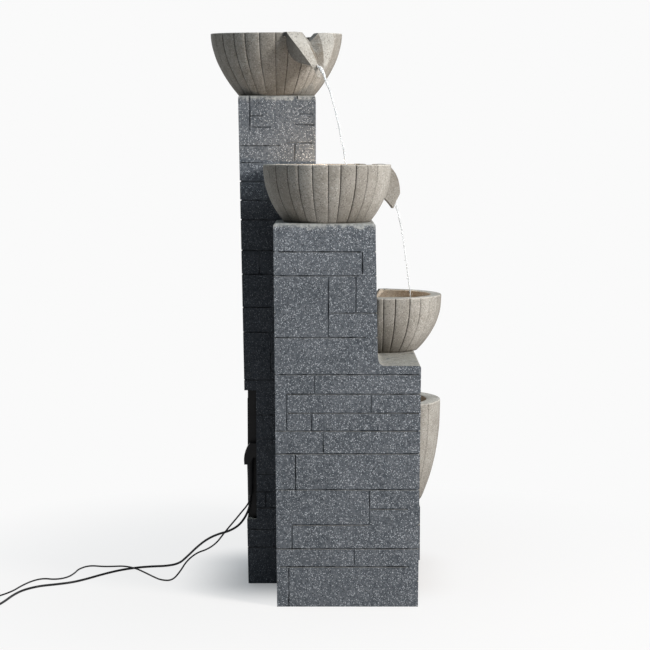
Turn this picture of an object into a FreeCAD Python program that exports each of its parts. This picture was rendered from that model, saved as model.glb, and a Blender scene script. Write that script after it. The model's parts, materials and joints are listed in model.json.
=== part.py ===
import FreeCAD, Part
import math
import os
from FreeCAD import Placement, Rotation, Vector

# Garden fountain of four stave-pattern bowls that step down around three hollow cast pillars.
# Axes: +Z is up, the front faces -Y, and the flank with the stepped pillar faces -X.
# The origin is on the floor, under the base plate of the stepped pillar.
# "Front" sizes are distances from the origin towards the front, so y is their negative.

SIZES = [
    ("near_x", -164, "flank face of the stepped pillar"),
    ("wall", 9, "wall of the castings"),
    ("top_wall", 12, "closed top of each casting"),
    ("tall_width", 137, "tall pillar, across the flank view"),
    ("tall_depth", 138, "tall pillar at its top, front to back"),
    ("tall_front", -17, "front face of the tall pillar, and back of the low block"),
    ("tall_height", 888, "top of the tall pillar"),
    ("tall_draw", 14.5, "how far the tall pillar's back draws in at the floor"),
    ("column_thick", 156, "upper column of the stepped pillar, across"),
    ("column_front", 86, "front of the upper column at its top"),
    ("column_flare", 5, "how far the upper column spreads at the step"),
    ("column_back", -88, "back of the upper column at its top"),
    ("column_draw", 4.5, "how far the stepped pillar's back draws in at the floor"),
    ("column_height", 667, "top of the upper column"),
    ("block_length", 328, "low block of the stepped pillar, across"),
    ("block_front", 165, "front of the low block at the step"),
    ("block_draw", 3, "how far the low block's front draws in at the floor"),
    ("step_height", 423, "top of the step"),
    ("step_cove", 12, "hollow moulding between the step and the column"),
    ("plinth_length", 168, "front plinth, across"),
    ("plinth_front", 184, "front of the plinth"),
    ("plinth_depth", 158, "front plinth, front to back"),
    ("plinth_height", 108, "top of the front plinth"),
    ("base_thick", 6, "base plates"),
    ("joint_width", 2.4, "joint lines between the stones"),
    ("joint_depth", 2, "depth of the joint lines"),
    ("edge_ease", 4, "rounding of the casting tops"),
    ("fit_gap", 0.4, "clearance of parts that drop in place"),
    ("top_radius", 119, "top bowl at its rim"),
    ("top_rise", 113, "top bowl, foot to rim"),
    ("top_front", -88, "centre of the top bowl"),
    ("upper_radius", 111.3, "upper bowl at its rim"),
    ("upper_rise", 99.7, "upper bowl, foot to rim"),
    ("upper_x", -86, "centre of the upper bowl"),
    ("upper_front", 3.6, "centre of the upper bowl"),
    ("lower_radius", 113, "lower bowl at its rim"),
    ("lower_rise", 103, "lower bowl, foot to rim"),
    ("lower_x", 86, "centre of the lower bowl"),
    ("lower_front", 103, "centre of the lower bowl"),
    ("basin_radius", 118.5, "basin at its rim"),
    ("basin_rise", 197, "basin, foot to rim"),
    ("basin_x", 251, "centre of the basin"),
    ("basin_front", 108.5, "centre of the basin"),
    ("bowl_wall", 18, "bowl walls at the rim"),
    ("basin_wall", 27, "basin wall at the rim"),
    ("bowl_floor", 16, "floors of the bowls"),
    ("stave_count", 28, "staves round a bowl"),
    ("stave_groove", 3.2, "width of the grooves between staves at the rim"),
    ("stave_depth", 2.4, "depth of the grooves between staves at the rim"),
    ("spout_half", 31, "half width of a spout's channel at the rim"),
    ("spout_depth", 40, "depth of a spout's channel at the rim"),
    ("spout_reach", 48, "how far a spout passes the rim"),
    ("top_spout_drop", 64, "how far the top spout's lip lies below the rim"),
    ("spout_drop", 52, "how far the other spouts' lips lie below their rims"),
    ("lip_half", 12, "half width of a spout's channel at its lip"),
    ("lip_depth", 13, "depth of a spout's channel at its lip"),
    ("spout_wall", 9, "flaps of the spouts"),
    ("service_low", 120, "lower edge of the service opening"),
    ("service_high", 358, "upper edge of the service opening"),
    ("service_front", -125, "how deep the service opening cuts in from the back"),
    ("cover_back", -141, "outer face of the service cover"),
    ("cover_wall", 3, "wall of the service cover"),
    ("cover_inset_near", 18, "cord channel beside the cover"),
    ("cover_inset_far", 3, "inset of the cover's far side"),
    ("hood_low", 221, "lower lip of the cord hood"),
    ("hood_high", 260, "top of the cord hood"),
    ("hood_bulge", 6.4, "how far the hood stands past the cover"),
    ("gland_low", 238, "underside of the cord gland"),
    ("gland_rise", 12, "height of the cord gland"),
    ("boot_low", 164, "lower end of the cord boot"),
    ("boot_top_radius", 6.8, "cord boot at the gland"),
    ("boot_low_radius", 5, "cord boot at its lower end"),
    ("tub_height", 107, "sump tub"),
    ("tub_wall", 2.5, "wall of the sump tub"),
    ("foot_rise", 8, "suction feet of the pump"),
    ("pump_length", 56, "pump housing along its shaft"),
    ("pump_width", 48, "pump housing across its shaft"),
    ("pump_rise", 50, "height of the pump housing"),
    ("pump_front_x", 69.5, "intake end of the pump housing"),
    ("strainer_length", 12, "intake cover of the pump"),
    ("rotor_radius", 7, "magnet of the impeller"),
    ("rotor_length", 26, "magnet of the impeller"),
    ("blade_radius", 12, "impeller over its blades"),
    ("blade_length", 7, "impeller blades along the shaft"),
    ("shaft_radius", 1.2, "pump shaft"),
    ("running_gap", 0.05, "radial clearance of turning fits"),
    ("hose_bore", 6.5, "inner radius of the riser hose"),
    ("hose_wall", 2, "wall of the riser hose"),
    ("barb_radius", 6.45, "radius of the hose tails"),
    ("inlet_radius", 10, "threaded shank of the bowl inlet"),
    ("flange_radius", 15, "flanges of the inlet and the drain"),
    ("flange_thick", 4, "flanges of the inlet and the drain"),
    ("drain_radius", 8, "drain tube and return pipe"),
    ("drain_bore", 5.5, "inner radius of the drain and the return pipe"),
    ("drain_x", 230, "drain of the basin"),
    ("drain_front", 80, "drain of the basin"),
    ("return_level", 70, "height of the return pipe"),
    ("return_x", 95, "where the return pipe turns to the sump"),
    ("lamp_radius", 17, "lamp housings"),
    ("lamp_rise", 12, "lamp housings"),
    ("stem_radius", 5, "threaded stems of the lamps"),
    ("stem_tail", 10, "stem below the casting's top wall"),
    ("lens_radius", 13, "lamp lenses"),
    ("lens_rise", 4, "lamp lenses"),
    ("cable_radius", 1.5, "lamp cables"),
    ("lead_radius", 2.1, "mains cable"),
    ("splitter_low", 270, "lamp splitter box"),
    ("splitter_rise", 60, "lamp splitter box"),
    ("bolt_radius", 4, "bolts between the castings"),
]

doc = FreeCAD.newDocument("garden_fountain")
sheet = doc.addObject("Spreadsheet::Sheet", "Sizes")
for row, (alias, value, meaning) in enumerate(SIZES, start=1):
    sheet.set("A%d" % row, alias)
    sheet.set("B%d" % row, str(value))
    sheet.setAlias("B%d" % row, alias)
    sheet.set("C%d" % row, meaning)
doc.recompute()


class Size:
    """Reads the sheet, so that Size.wall is the cell with that alias."""

    def __getattr__(self, alias):
        return float(sheet.get(alias))


size = Size()
finished = []


def keep(obj, node):
    """Marks an object as a sub-part with this file name."""
    obj.Label = node
    finished.append(obj)
    return obj


def place(obj, x="0", y="0", z="0", turn=None):
    """Places an object at expressions, after an optional fixed turn (axis, degrees)."""
    if turn:
        obj.Placement = Placement(Vector(), Rotation(turn[0], turn[1]))
    for axis, text in (("x", x), ("y", y), ("z", z)):
        obj.setExpression("Placement.Base." + axis, text)
    return obj


def box(name, low, high):
    """Part::Box between two corners given as expressions."""
    obj = doc.addObject("Part::Box", name)
    for key, start, end in zip(("Length", "Width", "Height"), low, high):
        obj.setExpression(key, "(%s) - (%s)" % (end, start))
    return place(obj, *low)


TO_X = (Vector(0, 1, 0), 90)
TO_Y = (Vector(1, 0, 0), -90)


def rod(name, radius, length, at, turn=None):
    """Part::Cylinder from a point, along +Z or turned to +X or +Y."""
    obj = doc.addObject("Part::Cylinder", name)
    obj.setExpression("Radius", radius)
    obj.setExpression("Height", length)
    return place(obj, *at, turn=turn)


def cone(name, low_radius, high_radius, length, at):
    """Part::Cone standing on a point."""
    obj = doc.addObject("Part::Cone", name)
    obj.setExpression("Radius1", low_radius)
    obj.setExpression("Radius2", high_radius)
    obj.setExpression("Height", length)
    return place(obj, *at)


def fuse(name, parts):
    obj = doc.addObject("Part::MultiFuse", name)
    obj.Shapes = parts
    return obj


def cut(name, base, tools):
    tool = tools[0] if len(tools) == 1 else fuse(name + "_tools", tools)
    obj = doc.addObject("Part::Cut", name)
    obj.Base = base
    obj.Tool = tool
    return obj


def solid(name, shape):
    """Part::Feature that holds a shape worked out from the sheet."""
    obj = doc.addObject("Part::Feature", name)
    obj.Shape = shape
    obj.Placement = Placement()
    return obj


def s(alias):
    """Expression for a cell of the sheet."""
    return "Sizes." + alias


# Shapes that several sub-parts share

def prism(points, direction):
    """Extrudes the closed polygon of some points."""
    return Part.Face(Part.makePolygon(points + points[:1])).extrude(direction)


def ruled(sections):
    """Ruled solid through closed polygons with the same number of corners."""
    return Part.makeLoft([Part.makePolygon(ring + ring[:1]) for ring in sections], True, True)


def faceted(rings):
    """Closed solid of flat faces between rings that are scaled copies of each other."""
    faces = [Part.Face(Part.makePolygon(ring + ring[:1])) for ring in (rings[0], rings[-1])]
    for upper, lower in zip(rings, rings[1:]):
        for k in range(len(upper)):
            corners = [upper[k - 1], upper[k], lower[k], lower[k - 1], upper[k - 1]]
            faces.append(Part.Face(Part.makePolygon(corners)))
    shell = Part.makeShell(faces)
    shell.sewShape()
    return Part.Solid(shell)


def tangent_arc(first, corner, last):
    """Arc that is tangent to both legs of a corner, from the end of one to the end of the other."""
    inward = (first - corner).normalize()
    outward = (last - corner).normalize()
    half_turn = (math.pi - inward.getAngle(outward)) / 2
    bend = (first - corner).Length / math.tan(half_turn)
    middle = (inward + outward).normalize()
    top = corner + middle * (bend / math.cos(half_turn) - bend)
    return Part.Arc(first, top, last).toShape(), bend


def rounded_path(points, limit=None):
    """Straight runs joined by tangent arcs, and the smallest radius on the way."""
    edges = []
    radii = []
    start = points[0]
    for before, corner, after in zip(points, points[1:], points[2:]):
        inward = (before - corner).normalize()
        outward = (after - corner).normalize()
        reach = 0.45 * min((before - corner).Length, (after - corner).Length)
        half_turn = (math.pi - inward.getAngle(outward)) / 2
        if limit:
            reach = min(reach, limit * math.tan(half_turn))
        first = corner + inward * reach
        last = corner + outward * reach
        arc, bend = tangent_arc(first, corner, last)
        edges.append(Part.LineSegment(start, first).toShape())
        edges.append(arc)
        radii.append(bend)
        start = last
    edges.append(Part.LineSegment(start, points[-1]).toShape())
    return Part.Wire(edges), min(radii)


def swept(path, radius, sides):
    """Sweeps a regular polygon with corners at a radius along a path of lines and arcs."""
    first = path.Edges[0]
    start = first.valueAt(first.FirstParameter)
    turn = Rotation(Vector(0, 0, 1), first.tangentAt(first.FirstParameter))
    corners = [start + turn.multVec(Vector(radius * math.cos(2 * math.pi * k / sides),
                                           radius * math.sin(2 * math.pi * k / sides), 0))
               for k in range(sides)]
    body = path.makePipeShell([Part.makePolygon(corners + corners[:1])], True, False)
    section = 0.5 * sides * radius ** 2 * math.sin(2 * math.pi / sides)
    if abs(body.Volume - section * path.Length) > 0.01 * section * path.Length:
        raise RuntimeError("a tube's volume is off")
    return body


def tube(points, radius, sides=8, limit=None):
    """Solid tube along a route, its length and its smallest bend."""
    path, smallest = rounded_path(points, limit)
    return swept(path, radius, sides), path.Length, smallest


# Hollow cast pillars

def front_wedge(name, x_span, z_span, low_fronts, high_fronts):
    """Part::Wedge standing on end: local Z runs to the front, local Y runs up."""
    obj = doc.addObject("Part::Wedge", name)
    values = {
        "Xmin": x_span[0], "Xmax": x_span[1], "X2min": x_span[0], "X2max": x_span[1],
        "Ymin": z_span[0], "Ymax": z_span[1],
        "Zmin": low_fronts[0], "Zmax": low_fronts[1],
        "Z2min": high_fronts[0], "Z2max": high_fronts[1],
    }
    for key, text in values.items():
        obj.setExpression(key, text)
    obj.Placement = Placement(Vector(), Rotation(Vector(1, 0, 0), 90))
    return obj


def eased_top(name, base, height, keep_edge):
    """Rounds the outer edges of a casting's top."""
    doc.recompute()
    edges = []
    for index, edge in enumerate(base.Shape.Edges, start=1):
        middle = edge.valueAt((edge.FirstParameter + edge.LastParameter) / 2)
        if all(abs(v.Z - height) < 0.01 for v in edge.Vertexes) and keep_edge(middle):
            edges.append((index, size.edge_ease, size.edge_ease))
    obj = doc.addObject("Part::Fillet", name)
    obj.Base = base
    obj.Edges = edges
    return obj


TALL_X = "(Sizes.near_x + Sizes.column_thick)"
TALL_FAR_X = "(%s + Sizes.tall_width)" % TALL_X
TALL_BACK = "(Sizes.tall_front - Sizes.tall_depth)"
TALL_BACK_LOW = "(%s + Sizes.tall_draw)" % TALL_BACK
BLOCK_FAR_X = "(Sizes.near_x + Sizes.block_length)"
PLINTH_FAR_X = "(%s + Sizes.plinth_length)" % BLOCK_FAR_X
PLINTH_BACK = "(Sizes.plinth_front - Sizes.plinth_depth)"
BACK_LOW = "(Sizes.column_back + Sizes.column_draw)"
BACK_AT_STEP = ("(Sizes.column_back + Sizes.column_draw"
                " * (1 - Sizes.step_height / Sizes.column_height))")

tall_x = size.near_x + size.column_thick
tall_far_x = tall_x + size.tall_width
tall_centre_x = tall_x + size.tall_width / 2
tall_back = size.tall_front - size.tall_depth
block_far_x = size.near_x + size.block_length
plinth_far_x = block_far_x + size.plinth_length
plinth_back = size.plinth_front - size.plinth_depth


def stones(name, courses, uprights):
    """Cutter for the joint lines: each entry is the box of one line."""
    half = size.joint_width / 2
    pieces = []
    for (x0, x1), (y0, y1), z in courses:
        corner = Vector(min(x0, x1), min(y0, y1), z - half)
        pieces.append(Part.makeBox(abs(x1 - x0), abs(y1 - y0), 2 * half, corner))
    for (x0, x1), (y0, y1), (z0, z1) in uprights:
        corner = Vector(min(x0, x1), min(y0, y1), z0)
        pieces.append(Part.makeBox(abs(x1 - x0), abs(y1 - y0), z1 - z0, corner))
    return solid(name, pieces[0].multiFuse(pieces[1:]) if len(pieces) > 1 else pieces[0])


def band_x(x, outward):
    """Depth range of a joint line on a face that looks along X."""
    return (x - outward * size.joint_depth, x + outward * size.joint_depth)


def lean(low, high, height, z):
    """Place of a leaning face at a height."""
    return low + (high - low) * z / height


def spread(index, low, high):
    """Uneven but steady place for an upright between two limits."""
    share = 0.5 + 0.32 * math.sin(2.4 * index + 0.7)
    return low + (high - low) * share


def courses_round(heights, x_span, front_low, front_high, back_low, back_high, height, faces):
    """Full joint lines with one upright per stone on chosen faces of a block."""
    lines = []
    uprights = []
    depth = size.joint_depth
    half = size.joint_width / 2
    levels = [0] + sorted(heights) + [height]
    for index, z in enumerate(sorted(heights)):
        front = -lean(front_low, front_high, height, z)
        back = -lean(back_low, back_high, height, z)
        if "front" in faces:
            lines.append((x_span, (front - depth, front + depth), z))
        if "back" in faces:
            lines.append((x_span, (back - depth, back + depth), z))
        if "near" in faces:
            lines.append((band_x(x_span[0], 1), (front, back), z))
        if "far" in faces:
            lines.append((band_x(x_span[1], 1), (front, back), z))
    for index, (z0, z1) in enumerate(zip(levels, levels[1:])):
        middle = (z0 + z1) / 2
        front = -lean(front_low, front_high, height, middle)
        back = -lean(back_low, back_high, height, middle)
        across = spread(index, x_span[0] + 12, x_span[1] - 12)
        along = spread(index + 5, front + 12, back - 12)
        if "front" in faces:
            uprights.append(((across - half, across + half), (front - depth, front + depth), (z0, z1)))
        if "back" in faces:
            across = spread(index + 3, x_span[0] + 12, x_span[1] - 12)
            uprights.append(((across - half, across + half), (back - depth, back + depth), (z0, z1)))
        if "near" in faces:
            uprights.append((band_x(x_span[0], 1), (along - half, along + half), (z0, z1)))
        if "far" in faces:
            along = spread(index + 8, front + 12, back - 12)
            uprights.append((band_x(x_span[1], 1), (along - half, along + half), (z0, z1)))
    return lines, uprights


# Where pipes, cables and bolts pass through touching walls: y and z, or x and z
PUMP_Y = "(-Sizes.top_front)"
pump_y = -size.top_front
upper_cable_hole = (50, 320)
lower_cable_hole = (86, 300)
basin_cable_hole = (-60, 50)
basin_cable_pass = (112, 180)
flank_bolts = [(40, 150), (60, 560)]
middle_bolts = [(35, 380), (110, 380)]
plinth_bolts = [(-45, 40), (-140, 70)]


def wall_holes(name, gap):
    """Cutter for everything that passes through two touching casting walls."""
    reach = 2 * size.wall + 2
    flank_start = tall_x - size.wall - 1
    middle_start = -size.tall_front - size.wall - 1
    end_start = block_far_x - size.wall - 1
    along_x = Vector(1, 0, 0)
    along_y = Vector(0, 1, 0)
    cable = size.cable_radius + gap
    bolt = size.bolt_radius + gap
    pipe = size.drain_radius + gap
    holes = [Part.makeCylinder(cable, reach, Vector(flank_start, *upper_cable_hole), along_x)]
    for x, z in (lower_cable_hole, basin_cable_pass):
        holes.append(Part.makeCylinder(cable, reach, Vector(x, middle_start, z), along_y))
    holes.append(Part.makeCylinder(cable, reach, Vector(end_start, *basin_cable_hole), along_x))
    for y, z in flank_bolts:
        holes.append(Part.makeCylinder(bolt, reach, Vector(flank_start, y, z), along_x))
    for x, z in middle_bolts:
        holes.append(Part.makeCylinder(bolt, reach, Vector(x, middle_start, z), along_y))
    for y, z in plinth_bolts:
        holes.append(Part.makeCylinder(bolt, reach, Vector(end_start, y, z), along_x))
    drain_y = -size.drain_front
    level = size.return_level
    holes.append(Part.makeCylinder(pipe, reach, Vector(end_start, drain_y, level), along_x))
    holes.append(Part.makeCylinder(pipe, reach, Vector(size.return_x, middle_start, level), along_y))
    return solid(name, Part.makeCompound(holes))


passages = wall_holes("passages", 0.4)

# Tall pillar, with the service opening at its back
tall_outer = front_wedge("tall_outer", (TALL_X, TALL_FAR_X), ("0", s("tall_height")),
                         (TALL_BACK_LOW, s("tall_front")), (TALL_BACK, s("tall_front")))
tall_inner = front_wedge("tall_inner",
                         (TALL_X + " + Sizes.wall", TALL_FAR_X + " - Sizes.wall"),
                         ("-1", "Sizes.tall_height - Sizes.top_wall"),
                         (TALL_BACK_LOW + " + Sizes.wall", "Sizes.tall_front - Sizes.wall"),
                         (TALL_BACK + " + Sizes.wall", "Sizes.tall_front - Sizes.wall"))
tall_eased = eased_top("tall_eased", tall_outer, size.tall_height, lambda p: True)
service_cut = box("service_cut", (TALL_X + " - 1", "-Sizes.service_front", s("service_low")),
                  (TALL_FAR_X + " + 1", "1 - " + TALL_BACK, s("service_high")))
TALL_COURSES = [68, 101, 141, 171, 204, 269, 313, 377, 464, 509, 569, 612, 667, 702, 736]
tall_low_back = tall_back + size.tall_draw
tall_lines, tall_uprights = courses_round(
    TALL_COURSES, (tall_x, tall_far_x), size.tall_front, size.tall_front,
    tall_low_back, tall_back, size.tall_height, ("front", "back", "near", "far"))
# Short joints at the head of the flank face: height, and front distances of both ends
for z, start, end in [(852, -134, -111), (855, -45, -20), (832, -134, -96), (836, -52, -20),
                      (799, -151, -80), (804, -68, -23), (769, -151, -111)]:
    tall_lines.append((band_x(tall_x, 1), (-start, -end), z))
tall_uprights.append((band_x(tall_x, 1), (132.8, 135.2), (827, 887)))
tall_uprights.append((band_x(tall_x, 1), (52.8, 55.2), (772, 804)))
tall_joints = stones("tall_joints", tall_lines, tall_uprights)
inlet_hole = rod("inlet_hole", "Sizes.inlet_radius + 0.3", "Sizes.top_wall + 40",
                 (TALL_X + " + Sizes.tall_width / 2", PUMP_Y, "Sizes.tall_height - Sizes.top_wall - 1"))
keep(cut("tall_pillar_cut", tall_eased, [tall_inner, service_cut, tall_joints, passages, inlet_hole]),
     "tall_pillar")

# Stepped pillar: an upper column that grows out of a low block with a step
column_outer = front_wedge("column_outer", (s("near_x"), TALL_X), (s("step_height"), s("column_height")),
                           (BACK_AT_STEP, "Sizes.column_front + Sizes.column_flare"),
                           (s("column_back"), s("column_front")))
column_eased = eased_top("column_eased", column_outer, size.column_height, lambda p: True)
block_near = front_wedge("block_near", (s("near_x"), TALL_X), ("0", s("step_height")),
                         (BACK_LOW, "Sizes.block_front - Sizes.block_draw"),
                         (BACK_AT_STEP, s("block_front")))
block_far = front_wedge("block_far", (TALL_X, BLOCK_FAR_X), ("0", s("step_height")),
                        (s("tall_front"), "Sizes.block_front - Sizes.block_draw"),
                        (s("tall_front"), s("block_front")))
block_whole = fuse("block_whole", [block_near, block_far])
block_eased = eased_top("block_eased", block_whole, size.step_height,
                        lambda p: -p.y > size.block_front - 1 or p.x > block_far_x - 1)
flared_front = size.column_front + size.column_flare
cove_bar = prism([Vector(size.near_x + 1, -flared_front + 0.5, size.step_height - 0.5),
                  Vector(size.near_x + 1, -flared_front + 0.5, size.step_height + size.step_cove),
                  Vector(size.near_x + 1, -flared_front - size.step_cove, size.step_height - 0.5)],
                 Vector(size.column_thick - 2, 0, 0))
cove_round = Part.makeCylinder(
    size.step_cove, size.column_thick,
    Vector(size.near_x, -flared_front - size.step_cove, size.step_height + size.step_cove),
    Vector(1, 0, 0))
cove = solid("cove", cove_bar.cut(cove_round))
stepped_outer = fuse("stepped_outer", [column_eased, block_eased, cove])
column_inner = box("column_inner", ("Sizes.near_x + Sizes.wall", "Sizes.wall - Sizes.column_front",
                                    "Sizes.step_height - Sizes.top_wall - 1"),
                   (TALL_X + " - Sizes.wall", "-(%s) - Sizes.wall" % BACK_LOW,
                    "Sizes.column_height - Sizes.top_wall"))
block_inner_near = box("block_inner_near",
                       ("Sizes.near_x + Sizes.wall",
                        "Sizes.wall + Sizes.block_draw - Sizes.block_front", "-1"),
                       (TALL_X + " - Sizes.wall", "-(%s) - Sizes.wall" % BACK_LOW,
                        "Sizes.step_height - Sizes.top_wall"))
block_inner_far = box("block_inner_far",
                      (TALL_X + " - Sizes.wall - 1",
                       "Sizes.wall + Sizes.block_draw - Sizes.block_front", "-1"),
                      (BLOCK_FAR_X + " - Sizes.wall", "-Sizes.tall_front - Sizes.wall",
                       "Sizes.step_height - Sizes.top_wall"))

# Joint lines of the flank face as the castings show them: height, then both ends to the front
FLANK_COURSES = [(619, -80, 61), (578, -87, 58), (514, 10, 87), (472, -86, 70), (408, -81, 161),
                 (374, -65, 165), (341, -64, 162), (310, -86, 160), (270, -83, 160), (207, -81, 157),
                 (173, 78, 144), (145, -57, 76), (103, -82, 161), (71, -78, 146)]
FLANK_UPRIGHTS = [(64, 581, 619), (6, 473, 578), (53, 516, 578), (-18, 374, 407), (-66, 312, 374),
                  (80, 343, 373), (-23, 310, 341), (-3, 272, 310), (-51, 208, 268), (77, 145, 205),
                  (-57, 104, 145), (51, 76, 103), (-63, 1, 69)]
half_joint = size.joint_width / 2
flank_lines = [(band_x(size.near_x, 1), (-a, -b), z) for z, a, b in FLANK_COURSES]
flank_uprights = [(band_x(size.near_x, 1), (-f - half_joint, -f + half_joint), (low, high))
                  for f, low, high in FLANK_UPRIGHTS]
BLOCK_COURSES = [45, 103, 145, 207, 270, 310, 374]
low_front = size.block_front - size.block_draw
near_lines, near_uprights = courses_round(
    BLOCK_COURSES, (size.near_x, block_far_x), low_front, size.block_front,
    size.tall_front, size.tall_front, size.step_height, ("front", "far"))
COLUMN_COURSES = [472, 514, 578, 619]
upper_lines = []
for z in BLOCK_COURSES + [408] + COLUMN_COURSES:
    back = -lean(size.column_back + size.column_draw, size.column_back, size.column_height, z)
    upper_lines.append(((size.near_x, tall_x), band_x(back, 1), z))
for z in COLUMN_COURSES:
    share = (z - size.step_height) / (size.column_height - size.step_height)
    front = -(flared_front + (size.column_front - flared_front) * share)
    upper_lines.append(((size.near_x, tall_x), band_x(front, 1), z))
stepped_joints = stones("stepped_joints", flank_lines + near_lines + upper_lines,
                        flank_uprights + near_uprights)


def stem_hole(name, x, front, below, floor_top, radius="Sizes.stem_radius"):
    """Hole down through a bowl's floor and the casting under it."""
    return rod(name, radius + " + 0.3", "(%s) - (%s)" % (floor_top, below), (x, "-(%s)" % front, below))


upper_stem_hole = stem_hole("upper_stem_hole", s("upper_x"), s("upper_front"),
                            "Sizes.column_height - Sizes.top_wall - 1",
                            "Sizes.column_height + Sizes.bowl_floor + 1")
lower_stem_hole = stem_hole("lower_stem_hole", s("lower_x"), s("lower_front"),
                            "Sizes.step_height - Sizes.top_wall - 1",
                            "Sizes.step_height + Sizes.bowl_floor + 1")
keep(cut("stepped_pillar_cut", stepped_outer,
         [column_inner, block_inner_near, block_inner_far, stepped_joints, passages,
          upper_stem_hole, lower_stem_hole]), "stepped_pillar")

# Front plinth under the basin
plinth_outer = box("plinth_outer", (BLOCK_FAR_X, "-Sizes.plinth_front", "0"),
                   (PLINTH_FAR_X, "-" + PLINTH_BACK, s("plinth_height")))
plinth_eased = eased_top("plinth_eased", plinth_outer, size.plinth_height,
                         lambda p: p.x > block_far_x + 1)
plinth_inner = box("plinth_inner",
                   (BLOCK_FAR_X + " + Sizes.wall", "Sizes.wall - Sizes.plinth_front", "-1"),
                   (PLINTH_FAR_X + " - Sizes.wall", "-%s - Sizes.wall" % PLINTH_BACK,
                    "Sizes.plinth_height - Sizes.top_wall"))
plinth_lines, plinth_uprights = courses_round(
    [34, 71], (block_far_x, plinth_far_x), size.plinth_front, size.plinth_front,
    plinth_back, plinth_back, size.plinth_height, ("front", "back", "far"))
plinth_joints = stones("plinth_joints", plinth_lines, plinth_uprights)
basin_stem_hole = stem_hole("basin_stem_hole", s("basin_x"), s("basin_front"),
                            "Sizes.plinth_height - Sizes.top_wall - 1",
                            "Sizes.plinth_height + Sizes.bowl_floor + 1")
drain_hole = stem_hole("drain_hole", s("drain_x"), s("drain_front"),
                       "Sizes.plinth_height - Sizes.top_wall - 1",
                       "Sizes.plinth_height + Sizes.bowl_floor + 1", "Sizes.drain_radius")
keep(cut("front_plinth_cut", plinth_eased,
         [plinth_inner, plinth_joints, passages, basin_stem_hole, drain_hole]), "front_plinth")

# Base plates, flush with the floor inside the casting walls
for node, spans in (
        ("tall_base", [((TALL_X, "-Sizes.tall_front"), (TALL_FAR_X, "-" + TALL_BACK_LOW))]),
        ("stepped_base", [((s("near_x"), "Sizes.block_draw - Sizes.block_front"), (TALL_X, "-" + BACK_LOW)),
                          ((TALL_X + " - 3 * Sizes.wall", "Sizes.block_draw - Sizes.block_front"),
                           (BLOCK_FAR_X, "-Sizes.tall_front"))]),
        ("plinth_base", [((BLOCK_FAR_X, "-Sizes.plinth_front"), (PLINTH_FAR_X, "-" + PLINTH_BACK))])):
    inset = "(Sizes.wall + Sizes.fit_gap)"
    plates = [box("%s_plate_%d" % (node, index),
                  ("%s + %s" % (low[0], inset), "%s + %s" % (low[1], inset), "0"),
                  ("%s - %s" % (high[0], inset), "%s - %s" % (high[1], inset), s("base_thick")))
              for index, (low, high) in enumerate(spans)]
    keep(plates[0] if len(plates) == 1 else fuse(node + "_plates", plates), node)

# Bolts that hold the three castings together, each with its head and nut
bolt_solids = []
head_radius = 1.7 * size.bolt_radius
head_thick = 5


def bolt(start, direction):
    """One bolt with a hexagon head and a nut, across two touching walls."""
    grip = 2 * size.wall
    tail = start + direction * grip
    turn = Rotation(Vector(0, 0, 1), direction)
    ring = [turn.multVec(Vector(head_radius * math.cos(k * math.pi / 3),
                                head_radius * math.sin(k * math.pi / 3), 0)) for k in range(6)]
    head = prism([start + corner for corner in ring], direction * -head_thick)
    hexagon = prism([tail + corner for corner in ring], direction * head_thick)
    shank = Part.makeCylinder(size.bolt_radius, grip + head_thick + 3, start, direction)
    return shank.fuse([head, hexagon])


for y, z in flank_bolts:
    bolt_solids.append(bolt(Vector(tall_x - size.wall, y, z), Vector(1, 0, 0)))
for x, z in middle_bolts:
    bolt_solids.append(bolt(Vector(x, -size.tall_front - size.wall, z), Vector(0, 1, 0)))
for y, z in plinth_bolts:
    bolt_solids.append(bolt(Vector(block_far_x - size.wall, y, z), Vector(1, 0, 0)))
keep(solid("bolts", Part.makeCompound(bolt_solids)), "pillar_bolts")

# Bowls of flat staves. The outline narrows from the rim to the foot by a power of the depth.
LEVELS = (0, 0.22, 0.43, 0.64, 0.83, 1)


def outline(radius, foot_share, curve, share):
    """Radius of a bowl at a share of its depth."""
    return radius * (1 - (1 - foot_share) * share ** curve)


def stave_ring(radius, z):
    """Ring of flat staves with a V groove between neighbours, of uneven widths."""
    count = int(size.stave_count)
    scale = radius / size.top_radius
    groove = math.atan(size.stave_groove / 2 / size.top_radius)
    points = []
    for index in range(count):
        angle = 2 * math.pi * (index + 0.16 * math.sin(2.4 * index)) / count
        for step, r in ((-groove, radius), (0, radius - size.stave_depth * scale), (groove, radius)):
            points.append(Vector(r * math.cos(angle + step), r * math.sin(angle + step), z))
    return points


def round_ring(radius, z, sides=48):
    """Ring of a bowl's smooth inside."""
    return [Vector(radius * math.cos(2 * math.pi * k / sides), radius * math.sin(2 * math.pi * k / sides), z)
            for k in range(sides)]


def channel(u, z, half, deep, over):
    """Section of a spout's V channel, open upwards."""
    return [Vector(u, -half, over), Vector(u, -half, z), Vector(u, 0, z - deep),
            Vector(u, half, z), Vector(u, half, over)]


def flaps(u, z, half, deep):
    """Section of a spout's two flaps from outside."""
    t = size.spout_wall
    slope = math.hypot(half, deep) / half
    return [Vector(u, -half - t, z), Vector(u, 0, z - deep - t * slope), Vector(u, half + t, z)]


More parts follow.
